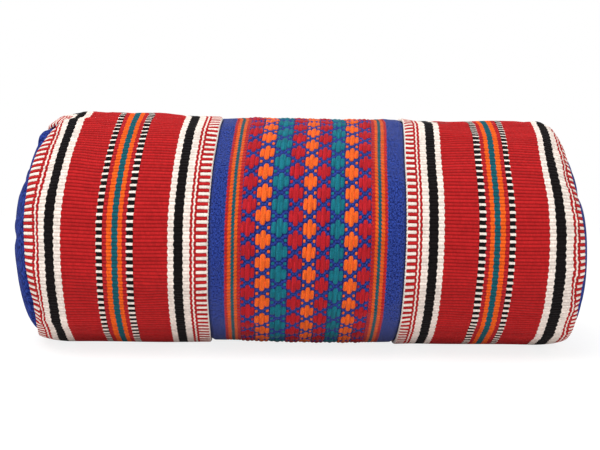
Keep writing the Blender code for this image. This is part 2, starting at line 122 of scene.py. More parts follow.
DRIFT = 0.0005
DRIFT_ACROSS = 70.0
DRIFT_TWIST = 30.0
DRIFT_ALONG = 45.0
LEFT_LAP_SLIM = 0.0005
LEFT_LAP_AT = -0.046
LEFT_LAP_SPREAD = 0.022
RIGHT_SLIM = 0.0010
RIGHT_SLIM_FROM = 0.030
RIGHT_SLIM_TO = 0.060
RIGHT_END_FULLER = 0.4
RIGHT_END_FROM = 0.118
RIGHT_END_TO = 0.132
WAVE_HEIGHT = 0.00025
WAVES_ROUND = 3.0
WAVE_TWIST = 40.0
WAVES_ALONG = 55.0
WAVE_START = 0.6
PUCKERS = 26
PUCKER_DEPTH = 0.0013
DENT_UP = math.radians(48.0)
DENT_SPREAD = math.radians(9.5)
DENT_DEPTH = 0.0034
BULGE = 0.0030
BULGE_UP = math.radians(67.0)
BULGE_SPREAD = math.radians(13.0)
BULGE_OUT = 0.008
BULGE_WIDTH = 0.0045
PUCKER_OUT = 0.0020
PUCKER_REACH = 0.0080
PUCKER_WIDTHS = (0.025, 0.06)
PUCKER_DEPTHS = (0.2, 1.0)

# Slide of a striped panel's end at angles up from the front: degrees, then left and right in millimetres
HEEL_SLIDES = [
    (-75.0, 0.0, 0.0),
    (-58.0, 1.7, 0.3),
    (-45.0, 2.5, 0.5),
    (-33.0, 2.5, 0.3),
    (-22.0, 1.4, 0.8),
    (-12.0, 0.4, 1.9),
    (5.0, -0.2, 1.9),
    (20.0, -0.7, 1.4),
    (35.0, -1.3, 0.8),
    (49.0, -1.1, 0.6),
    (59.0, 0.6, 0.3),
    (69.0, 2.2, 0.0),
    (80.0, 4.0, 0.0),
    (95.0, 2.6, 0.0),
    (125.0, 0.8, 0.0),
    (160.0, 0.0, 0.0),
]
HEEL_UP, LEFT_HEEL, RIGHT_HEEL = zip(*HEEL_SLIDES)

# Coarse skin that is filled with air for its folds: its rings and steps, and how it is filled
BARREL_RINGS = 25
SHOULDER_RINGS = 8
END_RINGS = 14
END_OPEN = 0.03
FOLD_STEPS = 144
FOLD_FRAMES = 18
FOLD_CAP = 0.0016
FOLD_REACH = 7
FOLD_LOW = (-0.98, -0.8)
ORDER_STEP = 100000
FILL_SETTINGS = {
    "quality": 5,
    "mass": 0.3,
    "tension_stiffness": 15.0,
    "compression_stiffness": 15.0,
    "bending_stiffness": 0.4,
    "shrink_min": -0.03,
    "use_pressure": True,
    "uniform_pressure_force": 4.0,
}

# Cloth layers
PANEL_THICK = 0.0016
CENTRE_THICK = 0.0013
CENTRE_CROWN = 0.0011
CENTRE_DEPTH = 0.00215
DISC_THICK = 0.0020
RIM_DEPTH = 0.0020
LAP_WIDTH = 0.008
CROWN_EDGE = 0.0022
CLOTH_LENGTH = CLOTH_TURN * BARREL_RADIUS
STRIPED_COLUMNS = 46
DOME_RINGS = 34
DISC_STEPS = 288
DISC_INNER_RINGS = 8
RIM_STEPS = (0.0115, 0.0080, 0.0045, 0.0015)
DISC_WELD = 0.00002
SELVEDGE_STEPS = (0.0, 0.00015, 0.0004, 0.0008)
SELVEDGE_WIDTH = 0.0014
SELVEDGE_ROUND = 0.0009
SLOT_ROUND = 0.0014
SEAM_ROUND = 0.0012
UNDER_SEAM = 0.006

# Weave, in metres: ribs across the striped cloth, beads of the centre cloth's border, floats
RIBS = 205
RIB_SAMPLES = 6
RIB_PITCH = CLOTH_LENGTH / RIBS
RIB_RELIEF = 0.00034
SCALLOP = 0.00025
YARN_PITCH = 0.0008
FLOAT_YARN = 0.00062
BEADS = 186
BEAD_SAMPLES = 5
BEAD_PITCH = CLOTH_LENGTH / BEADS
BEAD_RELIEF = 0.00040
CORD_PITCH = 0.0015
GROUND_DROP = 0.0003
FLOAT_SUNK = 0.0001
FLOAT_SLANT = 0.05
FLOAT_JITTER = 0.00012
FLOWER_MARGIN = 0.0050
DOT_MARGIN = 0.0036
BEAD_LOW = 0.35

# Floats and stitches: half width, half length and height, and where they lie in their cell
FLOWER_MIDDLE = (0.00129, 0.00458, 0.00084)
FLOWER_SIDE = (0.00108, 0.00281, 0.00070)
FLOWER_SIDE_AT = 0.00221
DOT = (0.00067, 0.00084, 0.00055)
DOT_AT = 0.00240
LATTICE_MIDDLE = (0.00058, 0.00066, 0.00042)
LATTICE_MIDDLE_AT = 0.00058
LATTICE_INNER = (0.00062, 0.00070, 0.00038)
LATTICE_INNER_AT = (0.00140, 0.00118)
LATTICE_OUTER = (0.00075, 0.00072, 0.00042)
LATTICE_OUTER_AT = (0.00245, 0.00200)
LATTICE_SLANT = math.radians(30.0)
COIL_STITCH = (0.00034, 0.00066, 0.00024)
TOPSTITCH = (0.00028, 0.00112, 0.00040)

# Zip
SLOT_WIDTH = (SLOT_END - SLOT_START) * BARREL_RADIUS
TAPE_TOP = 0.05355
TAPE_THICK = 0.0007
TAPE_EDGE = 0.0010
TAPE_WIDTH = 0.0125
TAPE_HALF_LENGTH = 0.1175
TAPE_COLUMNS = 16
TAPE_CUTS = 160
COIL_LOW = 0.05385
COIL_HEIGHT = 0.0016
COIL_START = -0.1100
COIL_END = 0.1115
COIL_HEAD = 0.00035
COIL_OUTER = 0.0032
COIL_PITCH = 0.00135
COIL_WIRE = 0.00029
COIL_SAMPLES = 14
COIL_HEAD_SWELL = 0.45
TAB_START = 0.1145
TAB_DEPTH = 0.0006
TAB_THICK = 0.0010
TAB_TUCK = 0.0012
TAB_CUTS = 30
TAB_COLUMNS = 18
TAB_ROUND = 0.0006
TAB_CLEAR = 0.0001
COIL_STITCH_SUNK = 0.00008
STITCH_SUNK = 0.0002
STITCH_INSET = 0.0024
STITCH_PITCH = 0.0030
METAL_EDGE = 0.00012
METAL_CORNER = math.radians(28.0)
METAL_FLAT = math.radians(2.0)

# Wandering of the stripes' edges, in millimetres on the cloth
ZIGZAG_DEPTH = 0.42
SCALLOP_DEPTH = 0.15
BEAD_SLANT = 0.50
EDGE_WANDER = 0.35
RED_BAR_SHARE = 0.535
BLACK_BAR_SHARE = 0.62
BAR_WANDER = 0.4

# Felted wool: slant of its strands, their count per metre each way, width of the shade by a seam and a lap
FELT_SLANT = math.radians(40.0)
FELT_STRANDS = (900.0, 1500.0, 500.0)
SEAM_SHADE = 1.3
LAP_SHADE = 1.2

# Brushed metal: lines per metre along the zip, which is their length, and across it
BRUSHED_LINES = (120.0, 2600.0, 2600.0)

# Light
WORLD_LIGHT = 0.68
KEY_POWER = 12.3
FILL_POWER = 1.9
FLOOR_WHITE = 0.88
FLOOR_SEEN = 0.24
FLOOR_GLOW = 0.82
FLOOR_FADE = (0.22, 0.55)
KEY_PLACE = (-0.38, -0.42, 1.20)
KEY_TARGET = (0.0, 0.0, 0.05)
KEY_SIZE = 0.9
FILL_PLACE = (0.30, -1.15, 0.24)
FILL_TARGET = (0.0, 0.0, 0.04)
FILL_SIZE = 0.6

# Colours as linear values
COLOURS = {
    "red": (0.50, 0.016, 0.018),
    "crimson": (0.50, 0.018, 0.023),
    "white": (0.87, 0.78, 0.70),
    "black": (0.008, 0.0065, 0.007),
    "orange": (0.914, 0.127, 0.013),
    "teal": (0.007, 0.113, 0.148),
    "bright_teal": (0.012, 0.178, 0.232),
    "bright_red": (0.50, 0.017, 0.026),
    "bright_orange": (0.90, 0.142, 0.022),
    "border_red": (0.60, 0.019, 0.024),
    "blue": (0.020, 0.041, 0.235),
    "deep_blue": (0.007, 0.014, 0.10),
    "bright_blue": (0.030, 0.062, 0.335),
    "band_blue": (0.037, 0.079, 0.42),
    "felt_blue": (0.029, 0.060, 0.325),
    "felt_dark": (0.005, 0.009, 0.070),
    "tape_blue": (0.012, 0.020, 0.11),
    "tape_dark": (0.005, 0.007, 0.045),
    "cotton": (0.030, 0.038, 0.10),
    "cotton_dark": (0.012, 0.015, 0.045),
    "navy": (0.009, 0.010, 0.085),
    "weft": (0.50, 0.08, 0.06),
    "lint": (0.42, 0.36, 0.34),
    "nylon": (0.018, 0.028, 0.14),
    "nylon_dark": (0.009, 0.014, 0.07),
    "nickel": (0.50, 0.48, 0.44),
    "nickel_stain": (0.36, 0.34, 0.31),
}

# Striped cloth from the lapped selvedge out to the seam, widths in metres
EDGE_STRIPES = [("white", 0.0001), ("red_bars", 0.0049)]
FINE_STRIPES = [("red", 0.0012), ("white", 0.0007), ("red", 0.0012)]
BLACK_BAND = [("white", 0.0030), ("black", 0.0044), ("white", 0.0029)]
RED_FIELD = [("red", 0.0162)]
RIGHT_WIDE_FROM = 0.1187
RIGHT_WIDE_REACH = 0.0072
RIGHT_WIDE_SHARE = 0.28
TEAL_BAND = [
    ("black_bars", 0.0030),
    ("crimson", 0.0020),
    ("orange", 0.0023),
    ("teal", 0.0025),
    ("orange", 0.0023),
    ("crimson", 0.0020),
    ("black_bars", 0.0030),
]
STRIPES = (
    EDGE_STRIPES + FINE_STRIPES + BLACK_BAND + RED_FIELD + TEAL_BAND + RED_FIELD + BLACK_BAND
    + FINE_STRIPES[::-1] + [("red_bars", 0.020)]
)
STRIPES_WIDTH = sum(width for _colour, width in STRIPES)
TEAL_WIDTH = sum(width for _colour, width in TEAL_BAND)
TEAL_START = sum(width for _colour, width in EDGE_STRIPES + FINE_STRIPES + BLACK_BAND + RED_FIELD)
TEAL_MIDDLE = TEAL_START + TEAL_WIDTH / 2.0
BAR_COLOURS = {"red_bars": ("red", "white"), "black_bars": ("black", "white")}

# Centre cloth
COLUMNS = [
    ("red", 0.0066),
    ("orange", 0.0072),
    ("teal", 0.0078),
    ("red", 0.0068),
    ("orange", 0.0063),
    ("red", 0.0064),
    ("teal", 0.0066),
    ("orange", 0.0065),
    ("red", 0.0061),
]
FLOAT_COLUMN = 0.0067
COLUMNS_HALF = sum(width for _colour, width in COLUMNS) / 2.0
BORDER = [
    ("border_red", 0.0015),
    ("orange", 0.0015),
    ("teal", 0.0016),
    ("orange", 0.0015),
    ("border_red", 0.0014),
]
BORDER_END = COLUMNS_HALF + sum(width for _colour, width in BORDER)
BORDER_REACH = 0.050


# Shape of the stuffed skin

def shoulder_drop(out):
    """How far the outer surface has fallen at this distance from the middle, up to the seam."""
    past = np.clip(np.minimum(out, SEAM_X) - SHOULDER_START, 0.0, None)
    return SHOULDER_RADIUS - np.sqrt(SHOULDER_RADIUS**2 - past**2)


def dome_share(station):
    """Zero on the barrel and up to its seam, rising to one at the middle of an end."""
    return np.clip((np.abs(station) - SEAM_REACH) / DOME_SPAN, 0.0, 1.0)


def dome_profile(q):
    """Distance out and radius of an end dome, with q 0 at its rim and 1 at its middle."""
    radius = DOME_RADIUS * np.cos(np.clip(q, 0.0, 1.0) * math.pi / 2.0)
    fall = np.clip(1.0 - (radius / DOME_RADIUS) ** DOME_POWER, 0.0, None)
    return DOME_START_X + DOME_RISE * fall**DOME_ROUND, radius


def smooth_step(value, start, end):
    """Zero before start, one after end, smooth between."""
    t = np.clip((value - start) / (end - start), 0.0, 1.0)
    return t * t * (3.0 - 2.0 * t)


def bump_at(value, middle, width):
    """A smooth bump of height one."""
    return np.exp(-(((value - middle) / width) ** 2))


def from_front(angle):
    """The same angle between minus and plus half a turn, zero at the front and positive above it."""
    return (angle + math.pi) % (2.0 * math.pi) - math.pi


def clear_of_zip(angle):
    """One where the cloth is free to move, and zero beside the zip."""
    return smooth_step(np.abs(from_front(angle - ZIP_ANGLE)), ZIP_HOLD, ZIP_FREE)


def before_back(up):
    """One at the front and over the top, fading out on the way down the back."""
    return smooth_step(-up, -BACK_END, -BACK_START)


def near_heel(station):
    """One at the seams of the barrel's two ends, fading quickly to both sides."""
    out = np.abs(station)
    return smooth_step(out, HEEL_FROM, SEAM_REACH) * smooth_step(-out, -SEAM_REACH - HEEL_FADE, -SEAM_REACH)


def heel_slide(up, slides):
    """How far a striped panel's end has slid, in millimetres, at each angle up from the front."""
    return np.interp(np.degrees(up), HEEL_UP, slides)


def lean(station, angle):
    """How far the cloth has slid along the barrel: its top has drawn together, more so on the left."""
    up = from_front(angle)
    top = smooth_step(np.sin(up), LEAN_FROM, 1.0) * (up > 0.0)
    barrel = np.clip(station, -SEAM_X, SEAM_X)
    slide = top * (TOP_LEAN - TOP_SHRINK * barrel)
    crown = CROWN_SLIDE * smooth_step(up, CROWN_FROM, CROWN_TO) * before_back(up)
    low = smooth_step(-up, LOW_FROM, LOW_TO) * before_back(-up)
    low = low * (LOW_LEAN - LOW_SHRINK * barrel)
    sides = LEFT_SLIDE * smooth_step(-station, LAP_EDGE, 2.0 * LAP_EDGE)
    left_low = LEFT_LOW_SLIDE * bump_at(up, LEFT_LOW_UP, LEFT_LOW_SPREAD)
    sides = sides + left_low * smooth_step(-station, 2.0 * LAP_EDGE, 3.0 * LAP_EDGE)
    right_high = RIGHT_HIGH_SLIDE * bump_at(up, RIGHT_HIGH_UP, RIGHT_HIGH_SPREAD)
    sides = sides - right_high * smooth_step(station, 2.0 * LAP_EDGE, 2.3 * LAP_EDGE)
    sides = sides + RIGHT_LAP_SLIDE * bump_at(station, LAP_EDGE, 2.0 * CROWN_EDGE)
    by_seam = smooth_step(-np.abs(station), -SEAM_REACH, -0.9 * SEAM_REACH)
    tuck = smooth_step(up, TUCK_ANGLE - TUCK_EDGE, TUCK_ANGLE + TUCK_EDGE)
    tuck = tuck * smooth_step(-station, TUCK_INNER, TUCK_OUTER) * before_back(up)
    tuck = tuck * smooth_step(station, -SEAM_REACH, -HEEL_FROM)
    heel_mm = np.where(station < 0.0, heel_slide(up, LEFT_HEEL), heel_slide(up, RIGHT_HEEL))
    heel = heel_mm * MM * near_heel(station)
    ring = np.cos(dome_share(station) * math.pi / 2.0)
    held = (low + sides) * by_seam + (slide + crown + TUCK_SLIDE * tuck) * ring + heel
    return held * clear_of_zip(angle) * np.where(up > ZIP_ANGLE, BACK_SHARE, 1.0)


def swell(station, angle):
    """How much fuller or slimmer the stuffing makes the barrel than its plain form."""
    up = from_front(angle)
    left_lap = -LEFT_LAP_SLIM * bump_at(station, LEFT_LAP_AT, LEFT_LAP_SPREAD)
    by_end = smooth_step(station, RIGHT_END_FROM, RIGHT_END_TO)
    right = -RIGHT_SLIM * smooth_step(station, RIGHT_SLIM_FROM, RIGHT_SLIM_TO)
    right = right * (1.0 - RIGHT_END_FULLER * by_end)
    waves = WAVE_HEIGHT * np.sin(angle * WAVES_ROUND + station * WAVE_TWIST)
    waves = waves * np.sin(station * WAVES_ALONG + WAVE_START)
    crease = -TUCK_DEPTH * bump_at(up, TUCK_ANGLE, TUCK_EDGE)
    crease = crease * smooth_step(-station, TUCK_INNER, TUCK_OUTER)
    crease = crease * smooth_step(station, -SEAM_REACH, -HEEL_FROM)
    full = HEEL_FULL * smooth_step(up, HEEL_FULL_FROM, HEEL_FULL_TO) * before_back(up)
    full = full * smooth_step(-station, HEEL_FROM, SEAM_REACH)
    return left_lap + right + (waves + crease + full) * clear_of_zip(angle)


def plain_skin(station, angle, lift):
    """Points of the skin before it folds: station out from the middle, angle up from the front, lift."""
    side = np.where(station < 0.0, -1.0, 1.0)
    out = np.abs(station)
    turn = np.clip((out - SHOULDER_START) / SHOULDER_RADIUS, 0.0, SHOULDER_TURN)
    arm = SHOULDER_RADIUS + lift
    x = np.minimum(out, SHOULDER_START) + arm * np.sin(turn)
    core = BARREL_RADIUS - SHOULDER_RADIUS
    rise = lift * np.cos(turn)
    radius = core + SHOULDER_RADIUS * np.cos(turn)
    q = (out - SEAM_REACH) / DOME_SPAN
    on_dome = q > 0.0
    dome_x, dome_r = dome_profile(q)
    next_x, next_r = dome_profile(q + PROFILE_STEP)
    last_x, last_r = dome_profile(q - PROFILE_STEP)
    run_x, run_r = next_x - last_x, last_r - next_r
    length = np.sqrt(run_x**2 + run_r**2) + 1e-9
    x = np.where(on_dome, dome_x + lift * run_r / length, x)
    radius = np.where(on_dome, dome_r, radius)
    rise = np.where(on_dome, lift * run_x / length, rise)
    lower = (1.0 - np.sin(angle)) / 2.0
    share = SETTLED_SHARE * np.minimum(radius / SETTLED_FROM_RADIUS, 1.0)
    radius = radius + share * lower * shoulder_drop(np.minimum(x, SEAM_X))
    radius = radius + swell(station, angle) * np.minimum(radius / SETTLED_FROM_RADIUS, 1.0)
    down = np.clip(-np.sin(angle), FLAT_FROM, 1.0)
    radius = np.minimum(radius, AXIS_HEIGHT / down) + rise
    tilt = RIGHT_END_DRAW + RIGHT_END_TILT * np.sin(angle) * radius / BARREL_RADIUS
    tilt = tilt * smooth_step(station, *RIGHT_TILT_SPAN) * clear_of_zip(angle)
    x = side * x + lean(station, angle) - tilt
    return np.stack([x, -radius * np.cos(angle), AXIS_HEIGHT + radius * np.sin(angle)], axis=-1)


# Filled skin: a coarse copy that swells with air while its seams hold it, for its folds alone

def skin_stations():
    """Where the rings of the coarse skin lie, from one end's middle to the other's."""
    barrel = np.linspace(0.0, SHOULDER_START, BARREL_RINGS)
    shoulder = np.linspace(SHOULDER_START, SEAM_REACH, SHOULDER_RINGS)[1:]
    dome = SEAM_REACH + DOME_SPAN * np.linspace(0.0, 1.0 - END_OPEN, END_RINGS)[1:]
    half = np.concatenate([barrel, shoulder, dome])
    return np.concatenate([-half[:0:-1], half])


def make_coarse_skin(stations):
    """The coarse skin as a plain tube, its parts always in one order, so that it fills the same way."""
    bm = bmesh.new()
    outline = [bm.verts.new((station, -BARREL_RADIUS, 0.0)) for station in stations]
    edges = [bm.edges.new((outline[i - 1], outline[i])) for i in range(1, len(outline))]
    bmesh.ops.spin(
        bm, geom=outline + edges, cent=(0.0, 0.0, 0.0), axis=(-1.0, 0.0, 0.0),
        angle=2.0 * math.pi, steps=FOLD_STEPS, use_merge=True,
    )
    bmesh.ops.recalc_face_normals(bm, faces=bm.faces)
    bm.verts.sort(key=lambda vert: round(vert.co.x / MM, 2) * ORDER_STEP + math.atan2(vert.co.z, -vert.co.y))
    bm.verts.index_update()
    for parts in (bm.edges, bm.faces):
        parts.sort(key=place_in_order)
    mesh = bpy.data.meshes.new("coarse_skin")
    bm.to_mesh(mesh)
    bm.free()
    return mesh


def place_in_order(part):
    """One number for an edge or a face, from its last and first points."""
    numbers = [vert.index for vert in part.verts]
    return max(numbers) * ORDER_STEP + min(numbers)


def simulate_folds():
    """Fill the coarse skin with air and return how far each of its points moves."""
    stations = skin_stations()
    turns = np.arange(FOLD_STEPS) * 2.0 * math.pi / FOLD_STEPS
    mesh = make_coarse_skin(stations)
    points = vertex_array(mesh)
    rows = np.searchsorted(stations, points[:, 0] - 1e-6)
    angles = np.arctan2(points[:, 2], -points[:, 1])
    columns = np.round(angles / (2.0 * math.pi) * FOLD_STEPS).astype(int) % FOLD_STEPS
    rest = plain_skin(stations[rows], turns[columns], np.zeros(len(rows)))
    write_points(mesh, rest)
    mesh.update()
    skin_object = bpy.data.objects.new("coarse_skin", mesh)
    bpy.context.scene.collection.objects.link(skin_object)
    held = skin_object.vertex_groups.new(name="held")
    on_seam = np.abs(np.abs(stations[rows]) - SEAM_REACH) < MM
    by_zip = np.abs(from_front(turns[columns] - ZIP_ANGLE)) < ZIP_HOLD
    on_floor = rest[:, 2] < MM / 10.0
    for index in np.nonzero(on_seam | by_zip | on_floor)[0]:
        held.add([int(index)], 1.0, "REPLACE")
    cloth = skin_object.modifiers.new("fill", "CLOTH")
    for key, value in FILL_SETTINGS.items():
        setattr(cloth.settings, key, value)
    cloth.settings.vertex_group_mass = "held"
    cloth.settings.effector_weights.gravity = 0.0
    cloth.collision_settings.use_collision = False
    scene = bpy.context.scene
    for moment in range(1, FOLD_FRAMES + 1):
        scene.frame_set(moment)
    depsgraph = bpy.context.evaluated_depsgraph_get()
    filled = skin_object.evaluated_get(depsgraph)
    moved = vertex_array(filled.to_mesh()) - rest
    filled.to_mesh_clear()
    scene.frame_set(1)
    bpy.data.objects.remove(skin_object)
    bpy.data.meshes.remove(mesh)
    field = np.zeros((len(stations), FOLD_STEPS, 3))
    field[rows, columns] = moved
    return field


def tidy_folds(field):
    """Keep only the folds in and out of the smooth skin, clear of zip and floor, and cap them."""
    turns = np.arange(FOLD_STEPS) * 2.0 * math.pi / FOLD_STEPS
    station, angle = np.meshgrid(skin_stations(), turns, indexing="ij")
    level = np.zeros_like(station)
    outward = (plain_skin(station, angle, level + MM) - plain_skin(station, angle, level)) / MM
    height = (field * outward).sum(axis=-1)
    smooth = sum(np.roll(height, shift, axis=1) for shift in range(-FOLD_REACH, FOLD_REACH + 1))
    height = height - smooth / (2 * FOLD_REACH + 1)
    height = height * clear_of_zip(turns) * smooth_step(np.sin(turns), *FOLD_LOW)
    height = height * FOLD_CAP / (np.abs(height) + FOLD_CAP)
    return height[..., None] * outward


def folds_at(station, angle):
    """The folds' movement at any place, between the points of the coarse skin."""
    if fold_field is None:
        return 0.0
    stations = skin_stations()
    row = np.clip(np.searchsorted(stations, station) - 1, 0, len(stations) - 2)
    along = np.clip((station - stations[row]) / (stations[row + 1] - stations[row]), 0.0, 1.0)[..., None]
    place = (angle / (2.0 * math.pi) * FOLD_STEPS) % FOLD_STEPS
    column = np.floor(place).astype(int) % FOLD_STEPS
    across = (place - np.floor(place))[..., None]
    after = (column + 1) % FOLD_STEPS
    low = fold_field[row, column] * (1.0 - across) + fold_field[row, after] * across
    high = fold_field[row + 1, column] * (1.0 - across) + fold_field[row + 1, after] * across
    return low * (1.0 - along) + high * along


def skin(station, angle, lift):
    """Points of the finished skin."""
    return plain_skin(station, angle, lift) + folds_at(station, angle)


# Mesh tools: cloth is laid flat as (across, along, lift), then bent onto the skin

def lay_flat(outline, start, end, cuts, closed=True):
    """Pull an outline of (across, lift) pairs along the cloth and cut it into even steps."""
    bm = bmesh.new()
    verts = [bm.verts.new((across, start, lift)) for across, lift in outline]
    edges = [bm.edges.new((verts[i - 1], verts[i])) for i in range(0 if closed else 1, len(verts))]
    pulled = bmesh.ops.extrude_edge_only(bm, edges=edges)["geom"]
    moved = [part for part in pulled if isinstance(part, bmesh.types.BMVert)]
    bmesh.ops.translate(bm, verts=moved, vec=(0.0, end - start, 0.0))
    if closed:
        at_end = set(moved)
        far = [edge for edge in bm.edges if edge.verts[0] in at_end and edge.verts[1] in at_end]
        bmesh.ops.contextual_create(bm, geom=edges)
        bmesh.ops.contextual_create(bm, geom=far)
    half = (end - start) / 2.0
    long_edges = [edge for edge in bm.edges if abs(edge.verts[0].co.y - edge.verts[1].co.y) > half]
    bmesh.ops.subdivide_edges(bm, edges=long_edges, cuts=cuts)
    bmesh.ops.recalc_face_normals(bm, faces=bm.faces)
    return bm


def vertex_array(mesh):
    """The mesh's points as rows."""
    points = np.zeros(len(mesh.vertices) * 3)
    mesh.vertices.foreach_get("co", points)
    return points.reshape(-1, 3)


def write_points(mesh, points):
    """Move the mesh's points to these rows."""
    mesh.vertices.foreach_set("co", points.ravel())


def write_uv(mesh, across, along):
    """Store cloth coordinates, in millimetres, as the UV map."""
    layer = mesh.uv_layers.new(name="cloth")
    loops = np.zeros(len(mesh.loops), dtype=np.int64)
    mesh.loops.foreach_get("vertex_index", loops)
    values = np.stack([across[loops] / MM, along[loops] / MM], axis=-1)
    layer.data.foreach_set("uv", values.astype(np.float32).ravel())


def finish_piece(name, bm, material, body, replaced):
    """Make the object, give it its material and body, and hide the nodes it stands for."""
    mesh = bpy.data.meshes.new(name)
    bm.to_mesh(mesh)
    bm.free()
    mesh.shade_smooth()
    mesh.materials.append(material)
    piece = bpy.data.objects.new(name, mesh)
    bpy.context.scene.collection.objects.link(piece)
    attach(piece, body)
    if replaced:
        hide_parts(*replaced)
    return piece


def turn_outwards(mesh, weld=0.0):
    """Join points closer than the weld, if there is one, and make the faces point outwards again."""
    bm = bmesh.new()
    bm.from_mesh(mesh)
    if weld:
        bmesh.ops.remove_doubles(bm, verts=bm.verts, dist=weld)
    bmesh.ops.recalc_face_normals(bm, faces=bm.faces)
    bm.to_mesh(mesh)
    bm.free()
    mesh.shade_smooth()


def pull_of_weave(across, along):
    """How far the yarns wander from their straight lines, along the cloth."""
    up = from_front(SLOT_END + along / BARREL_RADIUS)
    dip = -RIPPLE_DIP * bump_at(across, RIPPLE_ACROSS, RIPPLE_WIDTH) * bump_at(up, RIPPLE_UP, RIPPLE_SPREAD)
    drift = DRIFT * np.sin(across * DRIFT_ACROSS + along * DRIFT_TWIST) * np.sin(along * DRIFT_ALONG + 1.0)
    return (dip + drift) * clear_of_zip(up)


def bend_cloth(piece, base):
    """Bend a flat piece onto the skin, base above it, and store its cloth coordinates."""
    mesh = piece.data
    across, along, lift = vertex_array(mesh).T
    angle = SLOT_END + (along + pull_of_weave(across, along)) / BARREL_RADIUS
    write_points(mesh, skin(across, angle, lift + base))
    write_uv(mesh, across, along)
    mesh.update()


# Striped panels

def round_edge(distance, radius):
    """Drop of a rounded edge at a distance from it."""
    t = np.clip(1.0 - distance / radius, 0.0, 1.0)
    return -radius * (1.0 - np.sqrt(1.0 - t * t))


def slot_distance(along):
    """Distance along the cloth to the nearer side of the zip slot."""
    return np.minimum(along, CLOTH_LENGTH - along)


def rib_crest(along, pitch):
    """Height of rounded ribs, from 0 in the groove to 1 on the crest."""
    t = 2.0 * ((along / pitch + 0.5) % 1.0 - 0.5)
    return np.sqrt(np.clip(1.0 - t * t, 0.0, 1.0))


def make_striped_cloth(name, node, side, material):
    """One striped panel, ribbed all round the barrel, its selvedge scalloped rib by rib."""
    inside = np.linspace(LAP_EDGE + SELVEDGE_WIDTH, SEAM_REACH - SELVEDGE_WIDTH, STRIPED_COLUMNS)
    outer = [LAP_EDGE + step for step in SELVEDGE_STEPS] + list(inside)
    outer += [SEAM_REACH - step for step in reversed(SELVEDGE_STEPS)]
    outline = [(side * reach, 0.0) for reach in outer]
    for reach in (SEAM_REACH, SEAM_REACH - UNDER_SEAM, SHOULDER_START, LAP_EDGE):
        outline.append((side * reach, -PANEL_THICK))
    bm = lay_flat(outline, 0.0, CLOTH_LENGTH, RIBS * RIB_SAMPLES - 1)
    piece = finish_piece(name, bm, material, "pouch", [node])
    across, along, lift = vertex_array(piece.data).T
    out = np.abs(across)
    crest = rib_crest(along, RIB_PITCH)
    edge = round_edge(out - LAP_EDGE, SELVEDGE_ROUND) + round_edge(slot_distance(along), SLOT_ROUND)
    edge = edge + round_edge(SEAM_REACH - out, SEAM_ROUND)
    relief = np.where(lift > -0.5 * PANEL_THICK, edge - RIB_RELIEF * (1.0 - crest), 0.0)
    scallop = -SCALLOP * crest * (1.0 - smooth_step(out, LAP_EDGE, LAP_EDGE + SELVEDGE_STEPS[-1]))
    write_points(piece.data, np.stack([side * (out + scallop), along, lift + relief], axis=-1))
    bend_cloth(piece, 0.0)


# Centre panel

def make_centre_cloth(material):
    """The blue centre cloth, with beaded border stripes, its edges stepped down under the striped panels."""
    half = []
    stretches = [
        (0.0, COLUMNS_HALF, 14),
        (COLUMNS_HALF, BORDER_END, 20),
        (BORDER_END, LAP_EDGE - CROWN_EDGE, 8),
        (LAP_EDGE - CROWN_EDGE, LAP_EDGE + 0.001, 6),
    ]
    for start, end, count in stretches:
        half += list(np.linspace(start, end, count)[1:])
    half.append(LAP_EDGE + LAP_WIDTH)
    outer = [-reach for reach in reversed(half)] + [0.0] + half
    outline = [(reach, 0.0) for reach in outer]
    outline += [(reach, -CENTRE_THICK) for reach in (half[-1], 0.0, -half[-1])]
    bm = lay_flat(outline, 0.0, CLOTH_LENGTH, BEADS * BEAD_SAMPLES - 1)
    piece = finish_piece("centre_cloth", bm, material, "pouch", ["centre_panel"])
    across, along, lift = vertex_array(piece.data).T
    out = np.abs(across)
    crown = -CENTRE_CROWN - (CENTRE_DEPTH - CENTRE_CROWN) * smooth_step(out, LAP_EDGE - CROWN_EDGE, LAP_EDGE)
    cords = rib_crest(out - COLUMNS_HALF - CORD_PITCH / 2.0, CORD_PITCH)
    beads = rib_crest(along, BEAD_PITCH)
    in_border = (out > COLUMNS_HALF) & (out < BORDER_END)
    border = np.where(in_border, -BEAD_RELIEF * (1.0 - cords * (BEAD_LOW + (1.0 - BEAD_LOW) * beads)), 0.0)
    ground = np.where(out <= COLUMNS_HALF, -GROUND_DROP, 0.0)
    edge = round_edge(slot_distance(along), SLOT_ROUND)
    lift = lift + crown + np.where(lift > -0.5 * CENTRE_THICK, border + ground + edge, 0.0)
    write_points(piece.data, np.stack([across, along, lift], axis=-1))
    bend_cloth(piece, 0.0)


# Woven floats of the centre panel, laid flat before they are bent

def add_float(bm, across, along, size, columns, rows, turn=0.0):
    """One raised float: a padded patch whose edges tuck into the ground."""
    half_width, half_length, height = size
    made = bmesh.ops.create_grid(bm, x_segments=columns, y_segments=rows, size=1.0)
    for vert in made["verts"]:
        x = math.sin(vert.co.x * math.pi / 2.0)
        y = math.sin(vert.co.y * math.pi / 2.0)
        ends = math.sqrt(max(1.0 - y**8, 0.0))
        rise = math.sqrt(max(1.0 - x * x, 0.0)) * ends
        wide = half_width * x * max(ends, 0.4)
        far = half_length * y
        turned_x = wide * math.cos(turn) - far * math.sin(turn)
        turned_y = wide * math.sin(turn) + far * math.cos(turn)
        vert.co = (across + turned_x + FLOAT_SLANT * turned_y, along + turned_y, height * rise)


def add_flower(bm):
    """Three floats side by side, the middle one longer."""
    add_float(bm, 0.0, 0.0, FLOWER_MIDDLE, 4, 8)
    for side in (-1.0, 1.0):
        add_float(bm, side * FLOWER_SIDE_AT, 0.0, FLOWER_SIDE, 4, 6)


def add_dots(bm):
    """The two small floats between one flower and the next."""
    for side in (-1.0, 1.0):
        add_float(bm, side * DOT_AT, 0.0, DOT, 3, 4)


